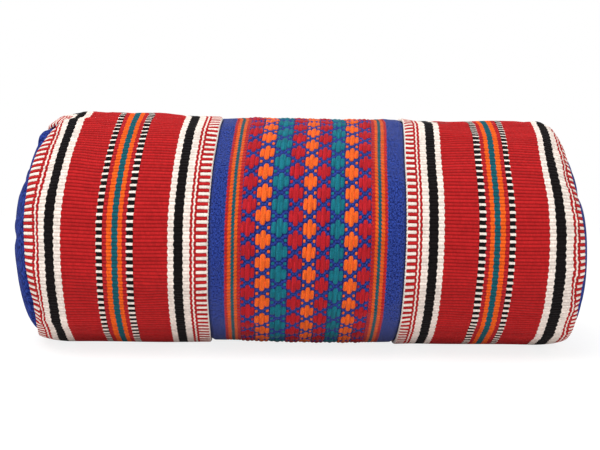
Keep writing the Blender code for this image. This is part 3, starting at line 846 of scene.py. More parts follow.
def add_lattice(bm):
    """The blue cross between two flowers: a middle stitch and four slanting ones."""
    for side in (-1.0, 1.0):
        add_float(bm, side * LATTICE_MIDDLE_AT, 0.0, LATTICE_MIDDLE, 3, 3)
        for end in (-1.0, 1.0):
            slant = -side * end * LATTICE_SLANT
            for size, (out, far) in ((LATTICE_INNER, LATTICE_INNER_AT), (LATTICE_OUTER, LATTICE_OUTER_AT)):
                add_float(bm, side * out, end * far, size, 3, 3, slant)


def repeat_cell(target, add_cell, width, across, first, count, pitch, rng):
    """Repeat a cell along the cloth, each a little out of place, and add it to the target mesh."""
    bm = bmesh.new()
    add_cell(bm)
    bmesh.ops.scale(bm, verts=bm.verts, vec=(width / FLOAT_COLUMN, 1.0, 1.0))
    bmesh.ops.translate(bm, verts=bm.verts, vec=(across, first, 0.0))
    cell = bm.verts[:] + bm.edges[:] + bm.faces[:]
    bmesh.ops.spin(
        bm, geom=cell, cent=(0.0, 0.0, 0.0), axis=(0.0, 0.0, 1.0), dvec=(0.0, pitch, 0.0),
        angle=0.0, steps=count - 1, use_duplicate=True,
    )
    offsets = rng.normal(0.0, FLOAT_JITTER, (count, 2))
    for vert in bm.verts:
        row = min(max(round((vert.co.y - first) / pitch), 0), count - 1)
        vert.co.x += offsets[row, 0]
        vert.co.y += offsets[row, 1]
    bmesh.ops.recalc_face_normals(bm, faces=bm.faces)
    cell_mesh = bpy.data.meshes.new("cell")
    bm.to_mesh(cell_mesh)
    bm.free()
    target.from_mesh(cell_mesh)
    bpy.data.meshes.remove(cell_mesh)


def make_floats(materials):
    """Flowers in each colour, with the dots between them, and the blue lattice."""
    rng = np.random.default_rng(PATTERN_SEED)
    pitch = ROW_STEP * BARREL_RADIUS
    meshes = {colour: bmesh.new() for colour in ("red", "orange", "teal", "blue")}
    start = -COLUMNS_HALF
    for column, (colour, width) in enumerate(COLUMNS):
        across = start + width / 2.0
        start += width
        phase = 0.75 * pitch if column % 2 == 0 else 0.25 * pitch
        first_row = 0 if phase > FLOWER_MARGIN else 1
        rows = [i for i in range(first_row, ROWS_ROUND) if phase + i * pitch < CLOTH_LENGTH - FLOWER_MARGIN]
        first = phase + rows[0] * pitch
        repeat_cell(meshes[colour], add_flower, width, across, first, len(rows), pitch, rng)
        between = first - pitch / 2.0 if first - pitch / 2.0 > DOT_MARGIN else first + pitch / 2.0
        count = int((CLOTH_LENGTH - DOT_MARGIN - between) / pitch) + 1
        repeat_cell(meshes[colour], add_dots, width, across, between, count, pitch, rng)
        repeat_cell(meshes["blue"], add_lattice, width, across, between, count, pitch, rng)
    for colour, bm in meshes.items():
        piece = finish_piece("floats_" + colour, bm, materials["float_" + colour], "pouch", [])
        bend_cloth(piece, -CENTRE_CROWN - GROUND_DROP - FLOAT_SUNK)


# End discs

def disc_puckers(station, angle):
    """Soft puckers that run in from the seam."""
    rng = np.random.default_rng(PATTERN_SEED + 1)
    near_seam = bump_at(np.abs(station), SEAM_REACH + PUCKER_OUT, PUCKER_REACH)
    folds = np.zeros_like(station)
    for _fold in range(PUCKERS):
        place = rng.uniform(0.0, 2.0 * math.pi)
        width = rng.uniform(*PUCKER_WIDTHS)
        depth = rng.uniform(*PUCKER_DEPTHS)
        folds = folds + depth * bump_at(from_front(angle - place - np.sign(station)), 0.0, width)
    up = from_front(angle)
    left = (station < 0.0) * 1.0
    deep = bump_at(up, DENT_UP, DENT_SPREAD) * left * DENT_DEPTH
    full = BULGE * left * bump_at(up, BULGE_UP, BULGE_SPREAD)
    full = full * bump_at(-station, SEAM_REACH + BULGE_OUT, BULGE_WIDTH)
    return (full - (PUCKER_DEPTH * folds + deep) * near_seam) * (np.abs(station) > SEAM_REACH)


def make_end_cloth(name, node, side, material):
    """One end disc: its rim under the striped panel, then the dome."""
    outer = [(SEAM_REACH - step, -RIM_DEPTH) for step in RIM_STEPS]
    outer += [(SEAM_REACH + DOME_SPAN * (i + 0.15) / DOME_RINGS, 0.0) for i in range(DOME_RINGS)]
    outer.append((SEAM_REACH + DOME_SPAN, 0.0))
    inner = [
        (SEAM_REACH + DOME_SPAN * (i + 0.2) / DISC_INNER_RINGS, -DISC_THICK) for i in range(DISC_INNER_RINGS)
    ]
    inner.append((SEAM_REACH + DOME_SPAN, -DISC_THICK))
    inner = inner[::-1] + [(SEAM_REACH - step, -RIM_DEPTH - DISC_THICK) for step in RIM_STEPS[::-3]]
    outline = [(side * reach, lift) for reach, lift in outer + inner + outer[:1]]
    bm = lay_flat(outline, 0.0, 2.0 * math.pi * BARREL_RADIUS, DISC_STEPS - 1, closed=False)
    piece = finish_piece(name, bm, material, "pouch", [node])
    mesh = piece.data
    station, along, lift = vertex_array(mesh).T
    angle = SLOT_END + along / BARREL_RADIUS
    lift = lift + disc_puckers(station, angle)
    write_points(mesh, skin(station, angle, lift))
    write_uv(mesh, station, along)
    turn_outwards(mesh, DISC_WELD)


# Zip: pieces laid flat as (distance from the zip's middle, place along it, lift)

def zip_frame():
    """Frame of the zip: x along it, y towards the rear, z out from the barrel's axis."""
    lift = Matrix.Translation((0.0, 0.0, AXIS_HEIGHT))
    return lift @ Matrix.Rotation(math.radians(90.0) - ZIP_ANGLE, 4, "X")


def make_tape(word, side, material):
    """One woven tape with a thick selvedge, curved to lie between the cloth and the lining."""
    distances = [TAPE_EDGE + TAPE_WIDTH * i / TAPE_COLUMNS for i in range(TAPE_COLUMNS + 1)]
    outline = [(distance, 0.0) for distance in distances]
    outline += [(distance, -TAPE_THICK) for distance in (distances[-1], distances[0])]
    bm = lay_flat(outline, -TAPE_HALF_LENGTH, TAPE_HALF_LENGTH, TAPE_CUTS)
    name = "zip_tape_" + word
    piece = finish_piece("woven_tape_" + word, bm, material, "pouch", [name])
    distance, along, lift = vertex_array(piece.data).T
    edge = np.minimum(distance - TAPE_EDGE, TAPE_EDGE + TAPE_WIDTH - distance)
    lift = lift + np.where(lift > -0.5 * TAPE_THICK, round_edge(edge, 0.5 * TAPE_THICK), 0.0)
    angle = ZIP_ANGLE + side * distance / TAPE_TOP
    radius = TAPE_TOP + lift
    bent = np.stack([along, -radius * np.cos(angle), AXIS_HEIGHT + radius * np.sin(angle)], axis=-1)
    write_points(piece.data, bent)
    write_uv(piece.data, distance, along)
    turn_outwards(piece.data)


def make_coil(word, side, material):
    """One coil: a single nylon filament wound in flattened turns, thicker at each head."""
    turns = (COIL_END - COIL_START) / COIL_PITCH
    t = np.linspace(0.0, 2.0 * math.pi * turns, int(turns * COIL_SAMPLES))
    middle = (COIL_HEAD + COIL_OUTER) / 2.0
    reach = (COIL_OUTER - COIL_HEAD) / 2.0 - COIL_WIRE
    height = COIL_HEIGHT / 2.0 - COIL_WIRE
    phase = t + (math.pi if side > 0.0 else 0.0)
    x = COIL_START + COIL_PITCH * t / (2.0 * math.pi)
    y = side * (middle - reach * np.cos(phase))
    z = COIL_LOW + COIL_HEIGHT / 2.0 + height * np.sin(phase)
    curve = bpy.data.curves.new("coil_line", "CURVE")
    curve.dimensions = "3D"
    curve.bevel_depth = COIL_WIRE
    curve.bevel_resolution = 1
    curve.use_fill_caps = True
    line = curve.splines.new("POLY")
    line.points.add(len(t) - 1)
    line.points.foreach_set("co", np.stack([x, y, z, np.ones_like(x)], axis=-1).ravel())
    line.points.foreach_set("radius", 1.0 + COIL_HEAD_SWELL * np.clip(np.cos(phase), 0.0, 1.0) ** 2)
    wound = bpy.data.objects.new("coil_line", curve)
    bpy.context.scene.collection.objects.link(wound)
    depsgraph = bpy.context.evaluated_depsgraph_get()
    mesh = bpy.data.meshes.new_from_object(wound.evaluated_get(depsgraph))
    mesh.transform(zip_frame())
    bpy.data.objects.remove(wound)
    bpy.data.curves.remove(curve)
    bm = bmesh.new()
    bm.from_mesh(mesh)
    bpy.data.meshes.remove(mesh)
    bmesh.ops.recalc_face_normals(bm, faces=bm.faces)
    finish_piece("coil_turns_" + word, bm, material, "pouch", ["zip_coil_" + word])


def make_coil_stitches(material):
    """The sewing that holds both coils: one stitch over each turn."""
    bm = bmesh.new()
    count = int((COIL_END - COIL_START) / COIL_PITCH)
    middle = (COIL_HEAD + COIL_OUTER) / 2.0
    for side in (-1.0, 1.0):
        for i in range(count):
            along = COIL_START + COIL_PITCH * (i + 0.5)
            add_float(bm, side * middle, along, COIL_STITCH, 2, 3)
    for vert in bm.verts:
        distance, along, lift = vert.co
        vert.co = (along, distance, COIL_LOW + COIL_HEIGHT - COIL_STITCH_SUNK + lift)
    bmesh.ops.reverse_faces(bm, faces=bm.faces)
    bmesh.ops.transform(bm, matrix=zip_frame(), verts=bm.verts)
    finish_piece("coil_stitches", bm, material, "pouch", [])


def make_tab(word, side, material):
    """Felt tab that closes the barrel from the zip's end to the end seam, tucked in at both sides."""
    reaches = np.linspace(TAB_START, SEAM_REACH - TAB_TUCK, TAB_COLUMNS)
    outline = [(side * reach, 0.0) for reach in reaches]
    outline += [(side * reach, -TAB_THICK) for reach in reaches[::-4]] + [(side * reaches[0], -TAB_THICK)]
    bm = lay_flat(outline, -SLOT_WIDTH - TAB_TUCK, TAB_TUCK, TAB_CUTS)
    piece = finish_piece("wool_tab_" + word, bm, material, "pouch", ["zip_tab_" + word])
    across, along, lift = vertex_array(piece.data).T
    upper = lift > -0.5 * TAB_THICK
    from_side = np.minimum(along + SLOT_WIDTH + TAB_TUCK, TAB_TUCK - along)
    end = round_edge(np.abs(across) - TAB_START, TAB_ROUND)
    under_panel = PANEL_THICK - TAB_DEPTH + TAB_CLEAR
    sunk = -TAB_DEPTH - under_panel * (1.0 - smooth_step(from_side, 0.0, 2.0 * TAB_TUCK))
    lift = lift + sunk + np.where(upper, end, 0.0)
    write_points(piece.data, np.stack([across, along, lift], axis=-1))
    bend_cloth(piece, 0.0)
    turn_outwards(piece.data)


def make_topstitches(name, inner, outer, base, material):
    """Two rows of stitches along the zip, from inner to outer on both sides of the middle."""
    bm = bmesh.new()
    count = round((outer - inner) / STITCH_PITCH)
    for row in (STITCH_INSET, CLOTH_LENGTH - STITCH_INSET):
        for side in (-1.0, 1.0):
            for i in range(count):
                across = side * (inner + (outer - inner) * (i + 0.5) / count)
                add_float(bm, across, row, TOPSTITCH, 2, 4, math.pi / 2.0)
    bmesh.ops.recalc_face_normals(bm, faces=bm.faces)
    piece = finish_piece(name, bm, material, "pouch", [])
    bend_cloth(piece, base)


def make_metal(node, body, material):
    """A die-cast part of the zip: the CAD form with its edges rounded over."""
    bm = bmesh.new()
    bm.from_mesh(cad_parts[node].data)
    bmesh.ops.remove_doubles(bm, verts=bm.verts, dist=MM / 1000.0)
    bmesh.ops.dissolve_limit(bm, angle_limit=METAL_FLAT, verts=bm.verts, edges=bm.edges)
    sharp = [line for line in bm.edges if line.calc_face_angle(0.0) > METAL_CORNER]
    bmesh.ops.bevel(
        bm, geom=sharp, offset=METAL_EDGE, segments=2, profile=0.5, affect="EDGES", material=-1,
        clamp_overlap=True,
    )
    bmesh.ops.recalc_face_normals(bm, faces=bm.faces)
    piece = finish_piece("cast_" + node, bm, material, body, [node])
    piece.data.set_sharp_from_angle(angle=METAL_CORNER)


def make_zip(materials):
    """All the pieces of the zip, its tabs and its sewing."""
    for word, side in (("front", -1.0), ("rear", 1.0)):
        make_tape(word, side, materials["tape"])
        make_coil(word, side, materials["nylon"])
        make_metal("zip_top_stop_" + word, "pouch", materials["metal"])
    for word, side in (("left", -1.0), ("right", 1.0)):
        make_tab(word, side, materials["felt"])
    make_coil_stitches(materials["thread"])
    make_metal("zip_bottom_stop", "pouch", materials["metal"])
    make_metal("zip_slider", "slider", materials["metal"])
    make_metal("zip_pull", "pull", materials["metal"])
    make_topstitches(
        "topstitches_striped", LAP_EDGE + 0.001, SEAM_X - 0.002, -STITCH_SUNK,
        materials["float_red"],
    )
    centre_base = -CENTRE_CROWN - GROUND_DROP - FLOAT_SUNK
    make_topstitches(
        "topstitches_centre", 0.0, LAP_EDGE - 0.003, centre_base, materials["float_blue"]
    )


# Materials

class Wiring:
    """Adds nodes to a tree and joins them, with numbers and sockets mixed freely."""

    def __init__(self, tree):
        self.tree = tree

    def node(self, kind, **settings):
        """A node with its settings."""
        made = self.tree.nodes.new(kind)
        for key, value in settings.items():
            setattr(made, key, value)
        return made

    def feed(self, socket, value):
        """Join a socket to an input, or write a plain value there."""
        if isinstance(value, bpy.types.NodeSocket):
            self.tree.links.new(value, socket)
        else:
            socket.default_value = value

    def math(self, operation, *values):
        """One Math node."""
        made = self.node("ShaderNodeMath", operation=operation)
        for i, value in enumerate(values):
            self.feed(made.inputs[i], value)
        return made.outputs[0]

    def plus(self, first, second):
        """The sum of two values."""
        return self.math("ADD", first, second)

    def minus(self, first, second):
        """The first value less the second."""
        return self.math("SUBTRACT", first, second)

    def times(self, first, second):
        """The product of two values."""
        return self.math("MULTIPLY", first, second)

    def over(self, first, second):
        """The first value divided by the second."""
        return self.math("DIVIDE", first, second)

    def mix(self, factor, first, second, blend="MIX"):
        """Mix two colours."""
        made = self.node("ShaderNodeMix", data_type="RGBA", blend_type=blend)
        self.feed(made.inputs["Factor"], factor)
        self.feed(made.inputs["A"], colour4(first))
        self.feed(made.inputs["B"], colour4(second))
        return made.outputs["Result"]

    def shade(self, colour, tone):
        """The colour made darker or lighter by a value."""
        return self.mix(1.0, colour, self.grey(tone), "MULTIPLY")

    def noise(self, vector, scale, detail=2.0, roughness=0.5):
        """A noise value."""
        made = self.node("ShaderNodeTexNoise")
        self.feed(made.inputs["Vector"], vector)
        self.feed(made.inputs["Scale"], scale)
        self.feed(made.inputs["Detail"], detail)
        self.feed(made.inputs["Roughness"], roughness)
        return made.outputs["Fac"]

    def wander(self, vector, scale, detail, depth):
        """A noise that strays this far to both sides of zero."""
        return self.times(self.minus(self.noise(vector, scale, detail), 0.5), depth)

    def random(self, first, second):
        """A random value from 0 to 1 that is the same wherever both numbers are."""
        made = self.node("ShaderNodeTexWhiteNoise", noise_dimensions="2D")
        self.feed(made.inputs["Vector"], self.combine(first, second))
        return made.outputs["Value"]

    def grey(self, value):
        """A grey of this value."""
        made = self.node("ShaderNodeCombineColor")
        for i in range(3):
            self.feed(made.inputs[i], value)
        return made.outputs[0]

    def combine(self, x, y, z=0.0):
        """A vector from three values."""
        made = self.node("ShaderNodeCombineXYZ")
        for i, value in enumerate((x, y, z)):
            self.feed(made.inputs[i], value)
        return made.outputs[0]

    def place(self):
        """Place on the object, in metres."""
        return self.node("ShaderNodeTexCoord").outputs["Object"]

    def stretched(self, vector, scale, turn=(0.0, 0.0, 0.0)):
        """A vector turned and scaled, for patterns drawn out one way."""
        made = self.node("ShaderNodeMapping")
        made.inputs["Rotation"].default_value = turn
        made.inputs["Scale"].default_value = scale
        self.feed(made.inputs["Vector"], vector)
        return made.outputs[0]

    def seen(self):
        """One for rays from the camera and for those that metal and glass send on."""
        path = self.node("ShaderNodeLightPath").outputs
        seen = self.math("MAXIMUM", path["Is Camera Ray"], path["Is Glossy Ray"])
        return self.math("MAXIMUM", seen, path["Is Transmission Ray"])

    def remap(self, value, low, high, new_low, new_high):
        """Map one range to another, held at its ends."""
        made = self.node("ShaderNodeMapRange")
        for i, item in enumerate((value, low, high, new_low, new_high)):
            self.feed(made.inputs[i], item)
        return made.outputs[0]

    def crest(self, value, pitch):
        """Rounded ridges of this pitch, 1 on the ridge and 0 in the groove."""
        phase = self.math("FRACT", self.plus(self.over(value, pitch), 0.5))
        offset = self.times(self.minus(phase, 0.5), 2.0)
        square = self.minus(1.0, self.times(offset, offset))
        return self.math("SQRT", self.math("MAXIMUM", square, 0.0))

    def ramp(self, value, bands):
        """A colour ramp of flat bands, given as (start, colour)."""
        made = self.node("ShaderNodeValToRGB")
        made.color_ramp.interpolation = "CONSTANT"
        elements = made.color_ramp.elements
        elements.remove(elements[1])
        elements[0].position = bands[0][0]
        elements[0].color = colour4(bands[0][1])
        for start, colour in bands[1:]:
            elements.new(start).color = colour4(colour)
        self.feed(made.inputs[0], value)
        return made.outputs[0]


def colour4(colour):
    """A colour with its alpha, or a socket as it is."""
    if isinstance(colour, bpy.types.NodeSocket) or len(colour) == 4:
        return colour
    return (*colour, 1.0)


def new_group(name, inputs, outputs):
    """A shader node group with named sockets, and the wiring to fill it with."""
    group = bpy.data.node_groups.new(name, "ShaderNodeTree")
    for socket_name, kind, default in inputs:
        socket = group.interface.new_socket(socket_name, in_out="INPUT", socket_type=kind)
        socket.default_value = default
    for socket_name, kind in outputs:
        group.interface.new_socket(socket_name, in_out="OUTPUT", socket_type=kind)
    wiring = Wiring(group)
    return group, wiring, wiring.node("NodeGroupInput").outputs, wiring.node("NodeGroupOutput").inputs


def place_group(wiring, group, **values):
    """Place a group in a material with its own values."""
    made = wiring.node("ShaderNodeGroup")
    made.node_tree = group
    for name, value in values.items():
        wiring.feed(made.inputs[name.replace("_", " ")], value)
    return made.outputs


def make_wool_group():
    """Warp-faced wool: takes the plain colour and cloth coordinates, gives the yarns' colour and height."""
    inputs = [
        ("Colour", "NodeSocketColor", (0.5, 0.5, 0.5, 1.0)),
        ("Weft", "NodeSocketColor", (0.4, 0.05, 0.05, 1.0)),
        ("Across", "NodeSocketFloat", 0.0),
        ("Along", "NodeSocketFloat", 0.0),
        ("Rib Pitch", "NodeSocketFloat", 1.7),
        ("Yarn Pitch", "NodeSocketFloat", 0.8),
        ("Groove Depth", "NodeSocketFloat", 0.5),
        ("Weft Share", "NodeSocketFloat", 0.2),
        ("Unevenness", "NodeSocketFloat", 0.1),
    ]
    outputs = [("Colour", "NodeSocketColor"), ("Height", "NodeSocketFloat")]
    group, w, given, result = new_group("woven_wool", inputs, outputs)
    ribs = w.crest(given["Along"], given["Rib Pitch"])
    turns = w.plus(w.over(given["Along"], given["Rib Pitch"]), 0.5)
    row = w.math("FLOOR", turns)
    slant = w.times(w.minus(w.math("FRACT", turns), 0.5), 0.35)
    half = w.times(w.math("PINGPONG", row, 1.0), 0.5)
    strand = w.plus(w.over(given["Across"], given["Yarn Pitch"]), w.plus(half, slant))
    yarns = w.crest(strand, 1.0)
    own = w.random(w.math("FLOOR", w.plus(strand, 0.5)), row)
    row_own = w.random(row, 3.0)
    place = w.combine(given["Across"], given["Along"])
    fibre = w.noise(place, 5.0, 3.0, 0.65)
    patch = w.noise(place, 0.12, 2.0)
    height = w.times(ribs, w.plus(0.7, w.times(yarns, 0.3)))
    fall = w.minus(1.0, w.times(height, height))
    channels = w.node("ShaderNodeSeparateColor")
    w.feed(channels.inputs[0], given["Colour"])
    pale = channels.outputs["Green"]
    # Painted shade: the colour is darkened in the grooves between ribs and yarns, less so on pale yarns
    depth = w.times(given["Groove Depth"], w.minus(1.0, w.times(pale, 1.1)))
    painted_groove_shade = w.times(fall, depth)
    tone = w.times(w.remap(fibre, 0.3, 0.7, 0.90, 1.10), w.remap(patch, 0.3, 0.7, 0.95, 1.05))
    uneven = w.plus(w.minus(own, 0.5), w.minus(row_own, 0.5))
    tone = w.times(tone, w.plus(1.0, w.times(uneven, given["Unevenness"])))
    tone = w.times(tone, w.minus(1.0, painted_groove_shade))
    seen = w.times(w.times(fall, pale), given["Weft Share"])
    tinted = w.mix(seen, given["Colour"], given["Weft"])
    toned = w.shade(tinted, tone)
    w.feed(result["Colour"], w.mix(w.remap(fibre, 0.55, 0.75, 0.0, 0.10), toned, COLOURS["lint"]))
    w.feed(result["Height"], w.plus(height, w.times(fibre, 0.5)))
    return group


def make_crepe_group():
    """Fulled wool with no ribs: wandering strands, light on dark, as a value from 0 to 1."""
    inputs = [
        ("Across", "NodeSocketFloat", 0.0),
        ("Along", "NodeSocketFloat", 0.0),
        ("Strand Width", "NodeSocketFloat", 0.5),
    ]
    group, w, given, result = new_group("fulled_wool", inputs, [("Strands", "NodeSocketFloat")])
    place = w.combine(given["Across"], given["Along"])
    across = w.plus(given["Across"], w.wander(place, 0.7, 2.0, 1.6))
    fine = w.combine(w.over(across, given["Strand Width"]), w.times(given["Along"], 1.05))
    w.feed(result["Strands"], w.remap(w.noise(fine, 1.0, 3.0, 0.6), 0.41, 0.59, 0.0, 1.0))
    return group


def new_material(name, roughness):
    """A material with its Principled shader and wiring, at the given roughness."""
    material = bpy.data.materials.new(name)
    material.use_nodes = True
    wiring = Wiring(material.node_tree)
    shader = material.node_tree.nodes["Principled BSDF"]
    shader.inputs["Roughness"].default_value = roughness
    return material, wiring, shader


def cloth_axes(wiring):
    """Across and along the cloth, in millimetres."""
    uv = wiring.node("ShaderNodeUVMap", uv_map="cloth")
    split = wiring.node("ShaderNodeSeparateXYZ")
    wiring.feed(split.inputs[0], uv.outputs[0])
    return split.outputs[0], split.outputs[1]


def add_bump(wiring, shader, height, distance):
    """Feed a height to the shader's normal."""
    bump = wiring.node("ShaderNodeBump")
    bump.inputs["Distance"].default_value = distance
    wiring.feed(bump.inputs["Height"], height)
    wiring.feed(shader.inputs["Normal"], bump.outputs[0])


def wool_finish(shader, sheen):
    """Dull wool with a faint halo of fibres."""
    shader.inputs["Sheen Weight"].default_value = sheen
    shader.inputs["Sheen Roughness"].default_value = 0.35
    shader.inputs["Specular IOR Level"].default_value = 0.04


def ramp_bands(stripes, start, total, choice=0):
    """Stripes as ramp places from 0 to 1, with one of each bar's two colours."""
    bands = []
    for colour, width in stripes:
        plain = BAR_COLOURS[colour][choice] if colour in BAR_COLOURS else colour
        bands.append((start / total, COLOURS[plain]))
        start += width
    return bands


def make_striped_material(wool_group):
    """Striped warp cloth: bands of colour, with bars where two colours take turns rib by rib."""
    material, w, shader = new_material("striped_wool_cloth", 0.95)
    across, along = cloth_axes(w)
    out = w.math("ABSOLUTE", across)
    place = w.combine(across, along)
    rib = RIB_PITCH / MM
    step = w.minus(w.math("PINGPONG", w.over(along, rib), 1.0), 0.5)
    zigzag = w.times(step, ZIGZAG_DEPTH)
    scallop = w.times(w.minus(w.crest(along, rib), 0.8), SCALLOP_DEPTH)
    wander = w.wander(place, 0.9, 3.0, EDGE_WANDER)
    past = w.math("MAXIMUM", w.minus(across, RIGHT_WIDE_FROM / MM), 0.0)
    past = w.math("MINIMUM", past, RIGHT_WIDE_REACH / MM)
    laid = w.minus(out, w.times(past, RIGHT_WIDE_SHARE))
    shifted = w.plus(w.minus(laid, zigzag), w.plus(scallop, wander))
    even = ramp_bands(STRIPES, 0.0, STRIPES_WIDTH, 0)
    odd = ramp_bands(STRIPES, 0.0, STRIPES_WIDTH, 1)
    position = w.over(w.minus(shifted, LAP_EDGE / MM), STRIPES_WIDTH / MM)
    ragged = w.wander(place, 1.2, 2.0, BAR_WANDER)
    turns = w.over(w.plus(along, ragged), rib)
    pair = w.math("FRACT", w.over(w.plus(turns, 0.5), 2.0))
    from_teal = w.math("ABSOLUTE", w.minus(shifted, (LAP_EDGE + TEAL_MIDDLE) / MM))
    in_teal = w.math("LESS_THAN", from_teal, TEAL_WIDTH / 2.0 / MM)
    parity = w.math("GREATER_THAN", pair, w.remap(in_teal, 0.0, 1.0, RED_BAR_SHARE, BLACK_BAR_SHARE))
    colour = w.mix(parity, w.ramp(position, even), w.ramp(position, odd))
    # The group's groove setting is the strength of the painted shade in the rib grooves
    woven = place_group(
        w, wool_group, Colour=colour, Weft=colour4(COLOURS["weft"]), Across=across, Along=along,
        Rib_Pitch=rib, Yarn_Pitch=YARN_PITCH / MM, Groove_Depth=0.42, Weft_Share=0.12, Unevenness=0.18,
    )
    w.feed(shader.inputs["Base Color"], woven["Colour"])
    wool_finish(shader, 0.07)
    add_bump(w, shader, woven["Height"], 0.0003)
    return material


def make_centre_material(wool_group, crepe_group):
    """Blue fulled ground, darker between the flowers, with beaded stripes along its borders and a painted
    shadow beside each lap.
    """
    material, w, shader = new_material("centre_wool_cloth", 0.95)
    across, along = cloth_axes(w)
    place = w.combine(across, along)
    out = w.math("ABSOLUTE", across)
    bead = BEAD_PITCH / MM
    phase = w.math("FRACT", w.plus(w.over(along, bead), 0.5))
    slant = w.times(w.minus(phase, 0.5), BEAD_SLANT)
    wander = w.wander(place, 0.7, 2.0, EDGE_WANDER)
    shifted = w.plus(out, w.plus(slant, wander))
    strands = place_group(w, crepe_group, Across=across, Along=along, Strand_Width=0.42)["Strands"]
    band_blue = w.mix(strands, COLOURS["deep_blue"], COLOURS["band_blue"])
    ground_blue = w.mix(strands, COLOURS["navy"], COLOURS["blue"])
    # Painted shadow: the blue is darkened in a band up to the lap edge, where the striped panel shades it
    painted_lap_shadow = w.remap(out, LAP_EDGE / MM - LAP_SHADE, LAP_EDGE / MM, 1.0, 0.35)
    band_blue = w.shade(band_blue, painted_lap_shadow)
    in_columns = w.math("LESS_THAN", out, COLUMNS_HALF / MM)
    plain = w.mix(in_columns, band_blue, ground_blue)
    bands = ramp_bands(BORDER, COLUMNS_HALF, BORDER_REACH)
    # The group's groove setting is the strength of the painted shade between the beads
    beads = place_group(
        w, wool_group, Colour=w.ramp(w.over(shifted, BORDER_REACH / MM), bands),
        Weft=colour4(COLOURS["weft"]), Across=across, Along=along, Rib_Pitch=bead, Yarn_Pitch=0.75,
        Groove_Depth=0.37, Weft_Share=0.2, Unevenness=0.16,
    )
    past_columns = w.math("GREATER_THAN", shifted, COLUMNS_HALF / MM)
    in_border = w.times(past_columns, w.math("LESS_THAN", shifted, BORDER_END / MM))
    w.feed(shader.inputs["Base Color"], w.mix(in_border, plain, beads["Colour"]))
    wool_finish(shader, 0.18)
    bead_height = w.times(in_border, beads["Height"])
    add_bump(w, shader, w.plus(bead_height, strands), 0.00025)
    return material


def make_float_material(colour):
    """Yarn of the floats: a few yarns side by side, running round the barrel."""
    material, w, shader = new_material("float_wool_" + colour, 0.95)
    across, along = cloth_axes(w)
    sway = w.noise(w.combine(across, along), 0.5, 1.0)
    strand = w.plus(w.over(across, FLOAT_YARN / MM), sway)
    yarns = w.crest(strand, 1.0)
    own = w.random(w.math("FLOOR", w.plus(strand, 0.5)), w.math("FLOOR", w.over(along, 5.6)))
    streak = w.noise(w.combine(w.times(across, 4.0), along), 1.6, 3.0, 0.6)
    # Painted shade: the colour is darker in the gaps between yarns and lighter on their crests
    tone = w.times(w.remap(streak, 0.38, 0.62, 0.72, 1.2), w.remap(yarns, 0.0, 0.9, 0.55, 1.03))
    tone = w.times(tone, w.remap(own, 0.0, 1.0, 0.82, 1.16))
    w.feed(shader.inputs["Base Color"], w.shade(COLOURS["bright_" + colour], tone))
    wool_finish(shader, 0.10)
    add_bump(w, shader, w.plus(yarns, w.times(streak, 0.6)), 0.0002)
    return material


def make_felt_material():
    """Plain blue wool, lightly felted: short slanting strands, with painted shade in a band where a disc
    dips into its seam.
    """
    material, w, shader = new_material("plain_blue_wool", 0.95)
    place = w.place()
    strands = w.noise(w.stretched(place, FELT_STRANDS, (FELT_SLANT, 0.0, 0.0)), 1.0, 3.0, 0.55)
    patch = w.noise(place, 160.0, 3.0)
    tone = w.plus(w.remap(strands, 0.42, 0.58, 0.0, 0.85), w.remap(patch, 0.35, 0.65, 0.0, 0.15))
    out = w.math("ABSOLUTE", cloth_axes(w)[0])
    # Painted shade: the disc's colour is darkened in a band beside its seam
    on_disc = w.math("GREATER_THAN", out, SEAM_REACH / MM)
    by_seam = w.remap(out, SEAM_REACH / MM, SEAM_REACH / MM + SEAM_SHADE, 0.75, 0.0)
    dip = w.times(on_disc, by_seam)
    tone = w.times(tone, w.minus(1.0, dip))
    w.feed(shader.inputs["Base Color"], w.mix(tone, COLOURS["felt_dark"], COLOURS["felt_blue"]))
    wool_finish(shader, 0.02)
    add_bump(w, shader, strands, 0.0005)
    return material


def make_plain_cloth_material(name, dark, light, fibre_scale):
    """Fine plain cloth, for the pieces that show least."""
    material, w, shader = new_material(name, 0.9)
    fibre = w.noise(w.place(), fibre_scale, 3.0, 0.6)
    tone = w.remap(fibre, 0.40, 0.60, 0.0, 1.0)
    w.feed(shader.inputs["Base Color"], w.mix(tone, COLOURS[dark], COLOURS[light]))
    wool_finish(shader, 0.02)
    add_bump(w, shader, fibre, 0.0002)
    return material


def make_tape_material():
    """Herringbone tape: slanting ridges that change direction every few yarns."""
    material, w, shader = new_material("herringbone_tape", 0.8)
    across, along = cloth_axes(w)
    slant = w.times(w.math("PINGPONG", across, 2.1), 1.3)
    ridge = w.crest(w.plus(along, slant), 0.75)
    yarn = w.crest(across, 0.42)
    height = w.times(w.plus(0.5, w.times(ridge, 0.5)), yarn)
    fibre = w.noise(w.combine(across, along), 6.0, 2.0)
    # Painted shade: the tape is darker where its ridges and yarns fall away
    tone = w.times(height, w.remap(fibre, 0.3, 0.7, 0.8, 1.1))
    w.feed(shader.inputs["Base Color"], w.mix(tone, COLOURS["tape_dark"], COLOURS["tape_blue"]))
    shader.inputs["Specular IOR Level"].default_value = 0.2
    add_bump(w, shader, height, 0.00015)
    return material


def make_nylon_material():
    """Dyed nylon filament, with a soft gloss and a little unevenness."""
    material, w, shader = new_material("dyed_nylon", 0.38)
    mottle = w.noise(w.place(), 400.0, 2.0)
    tone = w.remap(mottle, 0.3, 0.7, 0.0, 1.0)
    w.feed(shader.inputs["Base Color"], w.mix(tone, COLOURS["nylon_dark"], COLOURS["nylon"]))
    w.feed(shader.inputs["Roughness"], w.remap(mottle, 0.3, 0.7, 0.30, 0.46))
    shader.inputs["Coat Weight"].default_value = 0.1
    return material


